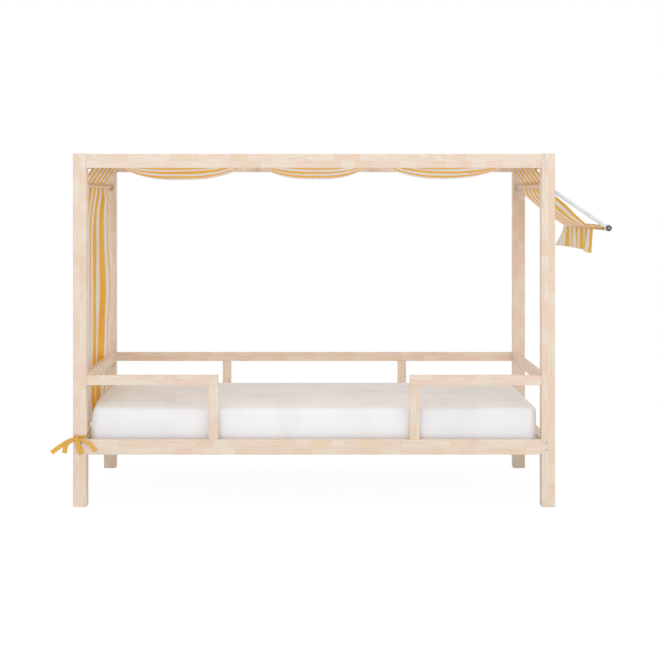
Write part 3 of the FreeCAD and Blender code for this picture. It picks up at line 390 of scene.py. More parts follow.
def sheetCloth(name, looks):
    # fine knitted cotton: small ribs along the bed, broken up by noise, and faint clouds of painted shade
    material, tree, shader = newMaterial(name)
    place = addNode(tree, "TexCoord").outputs["Object"]
    parts = addNode(tree, "SeparateXYZ", {0: place})
    x, y, z = parts.outputs
    lean = plus(y, z)
    threads = weave(x, lean, looks["thread"])
    fuzz = noise(place, 1400.0, 2.0)
    cloud = noise(place, 6.0, 3.0)
    # painted shade: soft clouds a little darker than the white
    colour = mixed(ramp(cloud, 0.35, 0.75), tone(*looks["white"]), tone(*looks["shade"]))
    # painted shade: up to a tenth greyer between the threads, where the knit dips
    colour = mixed(ramp(threads, 0.0, 0.5, 0.1, 0.0), colour, tone(200, 200, 202))
    colour = mixed(ramp(fuzz, 0.5, 0.9, 0.0, 0.12), colour, tone(255, 255, 255))
    shader.inputs["Sheen Weight"].default_value = 0.1
    finished(tree, shader, colour, ramp(fuzz, 0.2, 0.8, 0.82, 0.95), plus(threads, fuzz), looks["depth"])
    return material


plasticLooks = {
    "arm": {"colour": (226, 231, 235), "dark": (214, 220, 227), "roughness": (0.16, 0.27), "depth": 0.00004},
    "cap": {"colour": (74, 72, 78), "dark": (52, 50, 55), "roughness": (0.42, 0.62), "depth": 0.00012},
    "socket": {"colour": (216, 193, 164), "dark": (196, 168, 136), "roughness": (0.55, 0.75), "depth": 0.00010},
}


def moulded(name, looks, ringAt=None, partingAt=None):
    # moulded plastic: a fine skin, slow changes of tone, a parting line where two mould halves met, and for
    # the pole's caps a lighter middle inside the ring
    material, tree, shader = newMaterial(name)
    place = addNode(tree, "TexCoord").outputs["Object"]
    parts = addNode(tree, "SeparateXYZ", {0: place})
    skin = noise(place, 900.0, 2.0)
    cloud = noise(place, 22.0, 3.0)
    colour = mixed(ramp(cloud, 0.35, 0.7), tone(*looks["colour"]), tone(*looks["dark"]))
    colour = mixed(ramp(skin, 0.5, 0.9, 0.0, 0.1), colour, tone(255, 255, 255))
    height = skin
    if ringAt:
        aside = minus(parts.outputs[0], ringAt[0])
        above = minus(parts.outputs[2], ringAt[1])
        square = plus(times(aside, aside), times(above, above))
        radius = maths("SQRT", square)
        middle = ramp(radius, 0.0052, 0.0062, 1.0, 0.0)
        colour = mixed(times(middle, 0.75), colour, tone(168, 166, 172))
        height = minus(height, times(middle, 3.0))
    if partingAt:
        line = positive(minus(positive(parts.outputs[1]), partingAt))
        height = plus(height, ramp(line, 0.0001, 0.0004, 2.0, 0.0))
    finished(tree, shader, colour, ramp(cloud, 0.3, 0.7, *looks["roughness"]), height, looks["depth"])
    return material


steelLooks = {"bright": (214, 215, 214), "dull": (176, 177, 178), "roughness": (0.24, 0.42), "depth": 0.00003}


def zincSteel(name, looks):
    # zinc-plated steel: crystals of slightly different tone, each with its own gloss, and fine scratches
    material, tree, shader = newMaterial(name)
    place = addNode(tree, "TexCoord").outputs["Object"]
    crystals = addNode(tree, "TexVoronoi", {"Vector": place, "Scale": 700.0})
    grey = addNode(tree, "SeparateColor", {0: crystals.outputs["Color"]}).outputs[0]
    scratch = noise(place, 1600.0, 3.0)
    colour = mixed(grey, tone(*looks["bright"]), tone(*looks["dull"]))
    rough = plus(ramp(grey, 0.0, 1.0, *looks["roughness"]), times(scratch, 0.08))
    shader.inputs["Metallic"].default_value = 1.0
    finished(tree, shader, colour, rough, scratch, looks["depth"])
    return material


pineAlong = {axis: pine("pineAlong" + axis.upper(), axis, pineLooks) for axis in "xyz"}
slatLooks = {**pineLooks, "base": (236, 214, 184), "honey": (228, 196, 150), "pink": (236, 205, 176)}
slatPine = pine("slatPine", "y", slatLooks, jointed=False, shift=4.6)
poleLooks = {**pineLooks, "base": (235, 211, 186), "honey": (226, 196, 156), "ring": 0.0034}
polePine = pine("polePine", "y", poleLooks, jointed=False, shift=1.2)
dowelLooks = {**pineLooks, "base": (206, 170, 126), "honey": (190, 150, 104), "pink": (200, 160, 122)}
dowelBeech = pine("dowelBeech", "x", dowelLooks, jointed=False, shift=2.9)
canvas = stripedCloth("stripedCanvas", clothLooks)
# the valance's canvas is a paler copy of the same cloth: painted light, which makes up for the awning's shade on it
paintedLighter = {"yellow": (255, 230, 124), "deepYellow": (255, 222, 104), "white": (255, 253, 250)}
valanceLitLooks = {**clothLooks, **paintedLighter}
valanceLitCanvas = stripedCloth("valanceLitCanvas", valanceLitLooks)
ribbonYellow = {"yellow": (255, 221, 110), "deepYellow": (255, 208, 86)}
ribbonLooks = {**clothLooks, **ribbonYellow, "hemLine": 0.0016, "thread": 0.0009}
ribbonCloth = stripedCloth("ribbonCloth", ribbonLooks, striped=False)
fittedSheet = sheetCloth("fittedSheet", sheetLooks)
armPlastic = moulded("armPlastic", plasticLooks["arm"], partingAt=0.398)
capPlastic = moulded("capPlastic", plasticLooks["cap"], ringAt=(1.23886, 1.23677))
socketPlastic = moulded("socketPlastic", plasticLooks["socket"])
zinc = zincSteel("zincPlatedSteel", steelLooks)
print("finishes made:", len(bpy.data.materials))

nodeFinishes = [  # by how a node's name starts; the first that fits holds
    (zinc, ("side_rail_bolts", "end_rail_bolts", "barrel_nuts", "short_screws", "ledge_screws")),
    (pineAlong["x"], ("side_rail_", "top_rail_", "guard_rail_", "slat_ledge_")),
    (pineAlong["y"], ("end_rail_", "top_end_rail_", "guard_end_")),
    (pineAlong["z"], ("post_", "guard_upright_")),
    (slatPine, ("slat_",)),
    (capPlastic, ("awning_pole_caps",)),
    (polePine, ("canopy_pole_", "end_rod_", "awning_pole")),
    (armPlastic, ("awning_arm_",)),
    (socketPlastic, ("rod_sockets",)),
    (dowelBeech, ("dowels",)),
]
for name, piece in nodes.items():
    finish = next((finish for finish, starts in nodeFinishes if name.startswith(starts)), None)
    for slot in piece.material_slots if finish else []:
        slot.material = finish
print("finishes given to the timber, poles and fittings")


canopy = {
    "poles": (-1.049, -0.374, 0.206, 0.881),
    "poleHeight": 1.5365,
    "ring": 0.0113,  # from the middle of a pole or rod to the middle of the cloth
    "headRod": -1.124,
    "footRod": 0.956,
    "rodHeight": 1.429,
    "width": 0.75,
    "lowest": (-0.731, -0.076, 0.524),  # along the bed, where each belly is deepest
    "drops": (0.0775, 0.0740, 0.0725),
    "edgeDrop": 0.0265,
    "flatness": (2.7, 2.9, 2.3),  # 2 is a parabola, more is flatter below
    "keel": 0.13,  # how round the bellies are across the bed, as a share of the half width
    "creases": {"slant": (3.1, 0.9), "periods": (1.0, 2.3), "phases": (0.2, 0.6), "sizes": (0.0016, 0.0009)},
    "creaseFrom": (0.03, 0.2),  # how far from a pole the creases begin, and where they are full
    "hemHeight": 0.290,
    "hemX": -1.1455,
    "outBy": 0.12,  # the share of its fall in which the curtain comes out to its hem's place
    "hingeGap": 0.010,
    "folds": (4.0, 2.7, 6.3),
    "foldPhases": (0.5, 0.13, 0.71),
    "foldSizes": (0.0056, 0.0028, 0.0014),
    "foldPower": 0.6,
    "bulge": 0.018,  # how far the curtain swells outwards above its hem
    "bulgeHeight": 0.42,
    "bulgeReach": 0.16,
    # a deeper fold that wanders towards the rear edge on its way down, by these shares of the width
    "rearFold": {"size": 0.006, "at": (0.60, 0.96), "wide": 0.06, "grows": (0.02, 0.35), "fades": (1.0, 0.75)},
    # how far the curtain's middle hangs outside its edges, and how far its rear edge hangs inwards: the
    # ranges are the share of the fall, the height and the share of the width in which each takes hold
    "belly": {"size": 0.011, "fall": (0.0, 0.2), "height": (0.3, 0.7), "share": (0.92, 0.70)},
    "rear": {"size": 0.0175, "fall": (0.012, 0.06), "height": (0.30, 0.60), "share": (0.72, 1.0)},
    "rearMore": {"size": 0.0155, "height": 0.93, "reach": 0.16},  # where the rear edge comes in most
    "thick": 0.0013,
    "hemThick": 0.0026,
    "hemWide": 0.015,
    "columns": 113,
}


def onRing(centre, radius, turn):
    # the point at an angle on a circle in the upright plane along the bed; angles count from +X
    return centre[0] + radius * np.cos(turn), centre[1] + radius * np.sin(turn)


def beside(point, offset):
    return point[0] + offset[0], point[1] + offset[1]


def arc(centre, radius, first, last, count):
    # points of a round arc; each angle may be one for the whole cloth or one for each column
    return onRing(centre, radius, first + (last - first) * np.linspace(0, 1, count)[:, None])


def straight(first, last, count):
    share = np.linspace(0, 1, count)[:, None]
    return first[0] + (last[0] - first[0]) * share, first[1] + (last[1] - first[1]) * share


def sagging(first, last, depth, count):
    # a shallow arc that hangs by the depth below the straight line between its ends
    x, z = straight(first, last, count)
    share = np.linspace(0, 1, count)[:, None]
    runX, runZ = last[0] - first[0], last[1] - first[1]
    hang = 4 * share * (1 - share) * depth / math.hypot(runX, runZ)
    return x + hang * runZ, z - hang * runX


def joined(runs, columns):
    # the runs one after the other, without each run's first row, which the run before already has
    kept = [runs[0]] + [(x[1:], z[1:]) for x, z in runs[1:]]
    return [np.concatenate([np.broadcast_to(rows, (len(rows), columns)) for rows in part]) for part in zip(*kept)]


def leaving(span, depth, ring, power):
    # the angle on a pole where the cloth leaves it along its sag's own slope, found by a few repeats
    angle = np.full_like(depth, 1.0)
    for _ in range(8):
        angle = np.arctan2(span - ring * np.cos(angle), power * (depth + ring * np.sin(angle)))
    return angle


def atFootRod(settings):
    # the angle at which the roof's cloth reaches the foot rod, the point where it does, and the point just
    # before it where the roof's cloth ends and the awning's begins
    rise, run = settings["poleHeight"] - settings["rodHeight"], settings["poles"][0] - settings["headRod"]
    angle = math.pi / 2 - math.atan2(rise, run)
    touch = onRing((settings["footRod"], settings["rodHeight"]), settings["ring"], angle)
    gap = settings["hingeGap"]
    return angle, touch, beside(touch, (-gap * math.sin(angle), gap * math.cos(angle)))


def canopyPath(settings, share):
    # the curtain's straight hang up to the head rod, round it, up to the first pole, and then for each gap a
    # round arc over a pole and a sag that meets it without a kink: its depth is a power of the distance
    # from the lowest point, and across the bed it is a hyperbola that is deepest in the middle
    ring, head = settings["ring"], (settings["headRod"], settings["rodHeight"])
    poles, high = settings["poles"], settings["poleHeight"]
    foot, _, end = atFootRod(settings)
    arrive = math.pi - foot
    outside = head[0] - ring
    runs = [
        straight((outside, settings["hemHeight"]), (outside, head[1]), 90),
        arc(head, ring, math.pi, arrive, 9),
        straight(onRing(head, ring, arrive), onRing((poles[0], high), ring, arrive), 16),
    ]
    aside, keel = 2 * share - 1, settings["keel"]
    shallow = (np.sqrt(aside**2 + keel**2) - keel) / (math.sqrt(1 + keel**2) - keel)
    down = np.linspace(1, 0, 46)[:, None]
    rise = down[::-1]
    bellies = zip(poles, poles[1:], settings["lowest"], settings["drops"], settings["flatness"])
    for left, right, lowest, drop, power in bellies:
        depth = drop - (drop - settings["edgeDrop"]) * shallow
        leave = leaving(lowest - left, depth, ring, power)
        meet = leaving(right - lowest, depth, ring, power)
        runs.append(arc((left, high), ring, arrive, leave, 9))
        reach = lowest - left - ring * np.cos(leave)
        runs.append((lowest - down * reach, high - depth + (depth + ring * np.sin(leave)) * down**power))
        reach = right - lowest - ring * np.cos(meet)
        runs.append((lowest + rise * reach, high - depth + (depth + ring * np.sin(meet)) * rise**power))
        arrive = math.pi - meet
    runs.append(arc((poles[-1], high), ring, arrive, foot, 9))
    runs.append(straight(onRing((poles[-1], high), ring, foot), end, 16))
    return joined(runs, share.size)


def curtain(settings, x, z, share):
    # below the head rod the cloth comes out to its hem's place and opens into folds that grow with a power
    # of its fall; then come the swelling above the hem (a bell curve), the deeper fold, the fuller middle,
    # and the rear edge, which is drawn in everywhere and most at one height
    fall = (settings["rodHeight"] - z) / (settings["rodHeight"] - settings["hemHeight"])
    fall = np.where(x < settings["headRod"] - 0.01, np.clip(fall, 0, 1), 0)
    outwards = settings["hemX"] - settings["headRod"] + settings["ring"]
    x = x + eased(fall, 0.0, settings["outBy"]) * outwards + fall ** settings["foldPower"] * foldsOf(settings, share)
    swell = bell(z, settings["bulgeHeight"], settings["bulgeReach"]) * (1 - np.abs(2 * share - 1) ** 3) * (fall > 0)
    fold = settings["rearFold"]
    first, last = fold["at"]
    wander = (share - first - (last - first) * fall) / fold["wide"]
    depth = wander * np.exp(-(wander**2)) * eased(fall, *fold["grows"]) * eased(fall, *fold["fades"])
    x = x - settings["bulge"] * swell + fold["size"] * depth

    def hold(part):
        return eased(fall, *part["fall"]) * eased(z, *part["height"]) * eased(share, *part["share"])

    more = settings["rearMore"]
    inwards = settings["rear"]["size"] + more["size"] * bell(z, more["height"], more["reach"])
    return x - settings["belly"]["size"] * hold(settings["belly"]) + inwards * hold(settings["rear"])


def makeCanopy(settings):
    # the path with its curtain, and slanting creases in the roof's free parts, away from poles and rods
    share = np.linspace(0, 1, settings["columns"])
    x, z = canopyPath(settings, share[None, :])
    y, across, side = spread(share, settings["width"], x.shape)
    x = curtain(settings, x, z, share)
    above = eased(z, settings["rodHeight"] + 0.03, settings["poleHeight"] - 0.03) * (x > settings["headRod"])
    free = np.min([np.abs(x - pole) for pole in settings["poles"]], axis=0)
    creases = settings["creases"]
    perWidth, perMetre = creases["slant"]
    slanted = share * perWidth + lengthAlong(np.stack([x, y, z], axis=-1)) * perMetre
    height = waves(slanted, creases["periods"], creases["phases"], creases["sizes"])
    z = z + eased(free, *settings["creaseFrom"]) * above * height
    middle = np.stack([x, y, z], axis=-1)
    walk = lengthAlong(middle)[:, len(share) // 2]
    print(f"canopy cloth is {walk[-1]:.3f} m long")
    rows, hem = walk[:, None], (settings["thick"], settings["hemThick"], settings["hemWide"])
    surface = clothSurface(middle, across, rows, side, rows, *hem)
    return clothPiece("canopyCloth", canvas, [surface]), walk[-1]


canopyCloth, canopyLength = makeCanopy(canopy)
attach(canopyCloth, "frame")
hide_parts("roof_cloth", "head_curtain")
print("roof and curtain done")

awning = {
    "reach": 0.342,
    "angle": 34.2,
    "poleRing": 0.0116,
    "poleTouch": 100,  # the angle at which the sleeve's upper layer reaches the pole, in degrees
    "fall": (0.026, -0.046),  # from the rod's middle to the end of the short steep fall
    "sag": 0.005,
    "middleSag": 0.014,
    "sagRound": 3.5,
    "frontLift": 0.019,  # the front edge runs up against the arm, most near the bed
    "liftWide": 0.3,
    "liftAt": (0.967, 0.982, 1.035, 1.055, 1.077, 1.092, 1.130, 1.152, 1.174),
    "liftShare": (0.0, 0.85, 1.0, 0.95, 0.66, 0.38, 0.0, -0.25, 0.0),
    # from the pole's middle: the seam, where the sleeve's two layers part, and the lower layer's end
    "seam": (-0.065, 0.0005),
    "partAbove": (-0.021, 0.0012),
    "partBelow": (-0.021, -0.0016),
    "sleeveEnd": (-0.058, -0.0010),
    "columns": 121,
}


def makeAwning(settings, cloth):
    # from the roof cloth's end round the foot rod, a short steep fall, the long slope to the seam, and then
    # the sleeve: nearly shut at first, then over the outer pole, round it and back to the seam
    share = np.linspace(0, 1, settings["columns"])
    ring, rod = cloth["ring"], (cloth["footRod"], cloth["rodHeight"])
    foot, touch, begin = atFootRod(cloth)
    pole = onRing(rod, settings["reach"], -math.radians(settings["angle"]))
    seam, above, below, end = [beside(pole, settings[key]) for key in ("seam", "partAbove", "partBelow", "sleeveEnd")]
    bend = beside(rod, settings["fall"])
    droop = settings["sag"] + settings["middleSag"] * (1 - np.abs(2 * share - 1) ** settings["sagRound"])
    around, top = settings["poleRing"], math.radians(settings["poleTouch"])
    runs = [
        straight(begin, touch, 4),
        arc(rod, ring, foot, 0.0, 9),
        sagging(beside(rod, (ring, 0.0)), bend, settings["sag"], 14),
        sagging(bend, seam, droop, 60),
        straight(seam, above, 8),
        straight(above, onRing(pole, around, top), 6),
        arc(pole, around, top, -top, 25),
        straight(onRing(pole, around, -top), below, 6),
        straight(below, end, 8),
    ]
    x, z = joined(runs, settings["columns"])
    lift = settings["frontLift"] * np.interp(x, settings["liftAt"], settings["liftShare"])
    z = z + lift * (1 - eased(share, 0.0, settings["liftWide"]))
    y, across, side = spread(share, cloth["width"], x.shape)
    middle = np.stack([x, y, z], axis=-1)
    walk = lengthAlong(middle)[:, -1]
    rows = walk[:, None]
    print(f"awning cloth is {walk[-1]:.3f} m long")
    surface = clothSurface(middle, across, rows + canopyLength, side, rows + 0.002, cloth["thick"])
    return clothPiece("awningCloth", canvas, [surface])


awningCloth = makeAwning(awning, canopy)
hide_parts("awning_cloth")
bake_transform(awningCloth)

valance = {
    "seam": (1.17386, 1.23609),
    "length": 0.1085,
    "gap": 0.0015,
    "folds": (4.0, 2.6, 7.0),
    "foldPhases": (0.08, 0.4, 0.2),
    "foldSizes": (0.0058, 0.0026, 0.0013),
    "foldPower": 0.7,
    "curl": {"size": 0.046, "share": (0.86, 1.0), "power": 1.4},  # the rear corner's, inwards
    "lean": {"size": 0.013, "share": (0.4, 0.0)},  # the front corner's, inwards
    "hem": {"front": -0.003, "middle": 0.009, "from": (0.05, 0.28), "rear": 0.005, "to": (0.85, 1.0), "power": 1.5},
    "thick": 0.0012,
    "hemWide": 0.013,
    "rows": 40,
    "columns": 141,
}


def makeValance(settings, cloth):
    # hangs from the seam and opens into folds that grow with a power of the way down; its rear corner curls
    # and its front corner leans inwards, and its hem rises from the front corner to the rear one
    down = np.linspace(0, 1, settings["rows"])[:, None]
    share = np.linspace(0, 1, settings["columns"])[None, :]
    curl, lean, hem = settings["curl"], settings["lean"], settings["hem"]
    inwards = eased(share, *curl["share"]) * curl["size"] * down ** curl["power"]
    inwards = inwards + lean["size"] * down * eased(share, *lean["share"])
    x = settings["seam"][0] + down ** settings["foldPower"] * foldsOf(settings, share) - inwards
    rise = hem["front"] + hem["middle"] * eased(share, *hem["from"]) + hem["rear"] * eased(share, *hem["to"])
    z = settings["seam"][1] - settings["gap"] - settings["length"] * down + rise * down ** hem["power"]
    y, across, side = spread(share, cloth["width"], x.shape)
    rows, hem = down * settings["length"], (settings["thick"], cloth["hemThick"], settings["hemWide"])
    surface = clothSurface(np.stack([x, y, z], axis=-1), across, rows, side, settings["length"] - rows, *hem)
    return clothPiece("valanceCloth", valanceLitCanvas, [surface])


valanceCloth = makeValance(valance, canopy)
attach(valanceCloth, "valance")
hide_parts("awning_valance")
print("awning and valance done")


ribbon = {
    "wide": 0.0145,
    "thick": 0.0011,
    "post": (-1.124, -0.458),
    "postHalf": 0.0300,
    "postEdge": 14,  # the power of the band's outline; more is squarer
    "bandHeight": 0.310,
    "bandLift": (0.006, 0.0012),  # the band runs slanting and a little wavy round the post
    "strap": ((-1.1425, -0.4265, 0.310), (-1.144, -0.412, 0.311), (-1.1445, -0.395, 0.311), (-1.144, -0.378, 0.310)),
    "knot": (-1.1365, -0.492, 0.311),
    "loopWide": 0.0150,
    "loops": ((0.15, 0.0084, 0.0), (1.25, 0.0058, -0.0012)),  # tilt, radius and how far it lies to the rear
    "tails": [
        {
            "points": ((-1.139, -0.494, 0.309), (-1.153, -0.4965, 0.303), (-1.180, -0.496, 0.291))
            + ((-1.215, -0.493, 0.268), (-1.248, -0.49, 0.2415)),
            "wide": (0.012, 0.0205, 0.0210),
            "twist": (0.2, 0.35),
        },
        {
            "points": ((-1.138, -0.4955, 0.306), (-1.158, -0.4985, 0.298), (-1.177, -0.499, 0.285))
            + ((-1.187, -0.4985, 0.264), (-1.190, -0.497, 0.241)),
            "wide": (0.009, 0.017, 0.023),
            "twist": (0.0, -0.1),
        },
        {
            "points": ((-1.138, -0.496, 0.317), (-1.134, -0.5005, 0.301), (-1.127, -0.5005, 0.278))
            + ((-1.120, -0.499, 0.256), (-1.116, -0.4975, 0.237)),
            "wide": (0.018, 0.022, 0.023),
            "twist": (0.1, 0.25),
        },
        {
            "points": ((-1.132, -0.495, 0.305), (-1.113, -0.4985, 0.300), (-1.090, -0.499, 0.293))
            + ((-1.068, -0.4985, 0.276), (-1.052, -0.4975, 0.251)),
            "wide": (0.008, 0.013, 0.017),
            "twist": (-0.1, 0.2),
        },
    ],
}


def smoothPath(points, count):
    # a cubic B-spline through a list of control points, which starts and ends on the outer two
    control = np.array(points, float)
    control = np.concatenate([2 * control[:1] - control[1:2], control, 2 * control[-1:] - control[-2:-1]])
    spot = np.linspace(0, len(control) - 3 - 1e-9, count)
    first = spot.astype(int)
    t = (spot - first)[:, None]
    weights = [(1 - t) ** 3, 3 * t**3 - 6 * t**2 + 4, -3 * t**3 + 3 * t**2 + 3 * t + 1, t**3]
    return sum(weight * control[first + number] for number, weight in enumerate(weights)) / 6


def tapeGrid(path, widthWay, wide, cup, columns=9):
    # a tape along a path: each point is carried sideways by half the width, and bowed by the cup
    side = np.linspace(-1, 1, columns)[None, :, None]
    way = unit(np.broadcast_to(widthWay, path.shape))[:, None, :]
    bow = unit(np.cross(slope(path, 0), widthWay))[:, None, :]
    wide = np.broadcast_to(np.asarray(wide), (len(path),))[:, None, None]
    return path[:, None, :] + way * side * wide / 2 + bow * cup * (1 - side**2)


def tapeSurface(grid, thick):
    # a tape's pattern is its own width and the length walked along its middle
    rows = lengthAlong(grid)
    along = np.broadcast_to(rows[:, grid.shape[1] // 2, None], rows.shape)
    widths = np.linalg.norm(grid[:, -1] - grid[:, 0], axis=-1)[:, None]
    across = np.linspace(0, 1, grid.shape[1]) * widths
    ends = np.minimum(along, along[-1:] - along)
    return clothSurface(grid, across, along, np.minimum(across, widths - across), ends + 0.01, thick)


def makeRibbon(name, settings, mirrored):
    # a band round the post (a squared circle), a strap to the curtain's corner, a knot of two crossing
    # loops and four tails; the rear one is the front one mirrored
    thick, wide = settings["thick"], settings["wide"]
    toRear, upright = np.array([0.0, 1.0, 0.0]), np.array([0.0, 0.0, 1.0])
    turn = np.linspace(0, 2 * np.pi, 97)
    cosine, sine, edge = np.cos(turn), np.sin(turn), settings["postEdge"]
    reach = (settings["postHalf"] + thick * 0.7) * (np.abs(cosine) ** edge + np.abs(sine) ** edge) ** (-1 / edge)
    slant, wavy = settings["bandLift"]
    bandX, bandY = settings["post"][0] + reach * cosine * 1.002, settings["post"][1] + reach * sine
    band = np.stack([bandX, bandY, settings["bandHeight"] + slant * cosine + wavy * np.sin(3 * turn)], axis=-1)
    grids = [tapeGrid(band, upright, wide * (0.86 + 0.14 * np.cos(2 * turn + 0.6)), 0.0)]
    grids.append(tapeGrid(smoothPath(settings["strap"], 24), upright, wide, 0.0003))
    loop = np.linspace(0, 2 * np.pi, 41)[:, None]
    for tilt, radius, push in settings["loops"]:
        flatWay = np.array([-math.sin(tilt), 0.0, math.cos(tilt)])
        aside = push + np.cos(loop) * radius * 0.75
        path = settings["knot"] + aside * toRear + np.sin(loop) * radius * 1.35 * flatWay
        grids.append(tapeGrid(path, np.array([math.cos(tilt), 0.0, math.sin(tilt)]), settings["loopWide"], -0.0012))
    run = np.linspace(0, 1, 44)
    for tail in settings["tails"]:
        path = smoothPath(tail["points"], len(run))
        twist = np.linspace(*tail["twist"], len(run))[:, None]
        level = unit(np.cross(unit(slope(path, 0)), toRear))
        way = level * np.cos(twist) + toRear * np.sin(twist)
        tailWide = np.interp(run, [0, 0.35, 1], tail["wide"])
        grids.append(tapeGrid(path, way, tailWide, 0.0011 * np.sin(run * 5)[:, None, None] + 0.0008))
    if mirrored:
        grids = [grid[:, ::-1] * np.array([1.0, -1.0, 1.0]) for grid in grids]
    return clothPiece(name, ribbonCloth, [tapeSurface(grid, thick) for grid in grids])


for label, end in (("ribbonFront", "front"), ("ribbonRear", "rear")):
    node, post = "tie_ribbon_" + end, f"post_{end}_left"
    tied = makeRibbon(label, ribbon, mirrored=end == "rear")
    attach(tied, "frame")
    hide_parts(node)
print("ribbons done")


mattress = {
    "low": (-1.0915, -0.450, 0.267),
    "high": (0.9185, 0.450, 0.4430),
    "crown": 0.0055,
    "crownAt": (0.2, 0.45, 0.7, 0.9, 0.985),  # shares of the way in from the top's edge
    "endRise": {"size": 0.006, "ends": (0.5, 0.97)},  # both ends lie a little higher than the middle
    # towards the rear, the head end stands out and up a little; its front corner leans back at the top
    "head": {"out": 0.010, "up": 0.006, "x": (-0.93, -1.07), "y": (-0.42, 0.0), "z": (0.31, 0.38)},
    "headRear": (0.425, 0.365),  # where the head end's swelling stops again, along Y
    "cornerBack": {"size": 0.012, "x": (-1.02, -1.08), "y": (-0.22, -0.40), "z": (0.33, 0.45)},
    "creases": ((-0.573, -0.448, 0.36, 0.007, 0.09, 0.0022), (-0.405, -0.262, 0.45, 0.030, 0.05, 0.0018)),
    "corner": 0.037,
    "topEdge": 0.021,
    "footEdge": 0.012,
    "inset": 0.0045,
    "voxel": 0.0138,
    "pressure": 0.12,
    "cap": 0.006,
    "frames": 14,
}


def mattressForm(settings):
    # level outlines with round corners, drawn in and lifted along a profile: a small rounding below, a
    # larger one above, and a crown that rises towards the middle line
    low, high = np.array(settings["low"]), np.array(settings["high"])
    middle, half = (low + high) / 2, (high - low) / 2 - settings["inset"]
    foot, top = settings["footEdge"], settings["topEdge"]
    quarter = np.linspace(0, np.pi / 2, 7)
    below, above = np.array([0.98, 0.6, 0.3]), np.array(settings["crownAt"])
    footIn, topIn = foot * (1 - np.sin(quarter)), top * (1 - np.cos(quarter))
    footUp, topUp = foot * (1 - np.cos(quarter)), 2 * half[2] - top + top * np.sin(quarter)
    crown = 2 * half[2] + settings["crown"] * (1 - (1 - above) ** 2)
    inset = np.concatenate([half[1] * below, footIn, topIn, half[1] * above])[:, None]
    height = np.concatenate([0 * below, footUp, topUp, crown])[:, None]
    turn = np.linspace(0, 2 * np.pi, 361)[:-1]
    cosine, sine = np.cos(turn), np.sin(turn)
    wide, deep = half[0] - inset, half[1] - inset
    bend = np.maximum(settings["corner"] * (1 - inset / half[1]), 0.002)
    square = 1.4143  # a little over the square root of two, which takes the circle out into the corners
    x = np.sign(cosine) * np.minimum(np.abs(cosine) * square, 1) * wide
    y = np.sign(sine) * np.minimum(np.abs(sine) * square, 1) * deep
    coreX, coreY = np.clip(x, bend - wide, wide - bend), np.clip(y, bend - deep, deep - bend)
    outX, outY = x - coreX, y - coreY
    pull = np.minimum(1, bend / np.maximum(np.hypot(outX, outY), 1e-9))
    z = np.broadcast_to(low[2] + settings["inset"] * 0.2 + height, x.shape)
    return np.stack([coreX + outX * pull + middle[0], coreY + outY * pull + middle[1], z], axis=-1)


def shaped(points, settings):
    # what use has done to it: higher ends, a head end that stands out and up, a corner that leans back, and
    # creases; no point goes below the slats
    x, y, z = points.T
    low, high, rise = settings["low"], settings["high"], settings["endRise"]
    away = np.abs(x * 2 - low[0] - high[0]) / (high[0] - low[0])
    share = np.clip((z - low[2]) / (high[2] - low[2]), 0, 1)
    z = z + rise["size"] * eased(away, *rise["ends"]) * share
    head, corner = settings["head"], settings["cornerBack"]
    swell = eased(x, *head["x"]) * eased(y, *head["y"]) * eased(y, *settings["headRear"])
    x = x - head["out"] * swell * eased(z, *head["z"])
    z = z + head["up"] * swell * share
    x = x + corner["size"] * eased(x, *corner["x"]) * eased(y, *corner["y"]) * eased(z, *corner["z"])
    points = np.stack([x, y, z], axis=-1)
    points = points + creased(points, settings["creases"])
    points[:, 2] = np.maximum(points[:, 2], low[2] + 0.0001)
    return points


def makeMattress(settings):
    # the form's outlines joined into a closed skin, meshed evenly, filled, and shaped by use
    rings = mattressForm(settings)
    rows, columns = rings.shape[:2]
    number = np.arange(rows * columns).reshape(rows, columns)
    half = columns // 2
    bottom, top = [gridQuads(np.stack([ring[::-1][:half], ring[:half]], axis=1)) for ring in (number[0], number[-1])]
    quads = np.concatenate([gridQuads(np.concatenate([number, number[:, :1]], axis=1)), bottom[:, ::-1], top])
    piece = meshOf("mattress_pad", rings.reshape(-1, 3), quads, {})
    grain = piece.modifiers.new("Even", "REMESH")
    grain.mode = "VOXEL"
    grain.voxel_size = settings["voxel"]
    even = bpy.data.meshes.new_from_object(piece.evaluated_get(bpy.context.evaluated_depsgraph_get()))
    piece.modifiers.clear()
    piece.data = even
    points = pointsOf(even)
    print(f"mattress has {len(points)} points before it is filled")
    points = filled(piece, points, settings)
    even.vertices.foreach_set("co", shaped(points, settings).astype(np.float32).ravel())
    even.update()
    return piece


def creased(points, creases):
    # shallow dents towards the mattress's middle: each is a bell curve round its place, narrow along the
    # bed and longer the other ways; one on the top goes down, one on the front side goes in
    push = np.zeros_like(points)
    for x, y, z, narrow, long, depth in creases:
        far = ((points[:, 0] - x) / narrow) ** 2 + ((points[:, 1] - y) / long) ** 2 + ((points[:, 2] - z) / long) ** 2
        onTop = z > 0.43
        push[:, 2 if onTop else 1] += (-depth if onTop else depth) * np.exp(-far)
    return push


def filled(piece, rest, settings):
    # the sheet is blown up from inside for a few steps; how far a point may move is capped
    cloth = piece.modifiers.new("Filled", "CLOTH")
    cloth.settings.quality = 5
    cloth.settings.mass = 0.3
    cloth.settings.tension_stiffness = 40.0
    cloth.settings.compression_stiffness = 40.0
    cloth.settings.bending_stiffness = 2.0
    cloth.settings.use_pressure = True
    cloth.settings.uniform_pressure_force = settings["pressure"]
    cloth.settings.effector_weights.gravity = 0.0
    cloth.point_cache.frame_start = 1
    cloth.point_cache.frame_end = settings["frames"]
    scene = bpy.context.scene
    for number in range(1, settings["frames"] + 1):
        scene.frame_set(number)
    step = pointsOf(piece.evaluated_get(bpy.context.evaluated_depsgraph_get()).data) - rest
    piece.modifiers.clear()
    scene.frame_set(1)
    far = np.linalg.norm(step, axis=1, keepdims=True)
    print(f"the filling moved the sheet by up to {far.max() * 1000:.1f} mm")
    return rest + step * np.minimum(1, settings["cap"] / np.maximum(far, 1e-9))


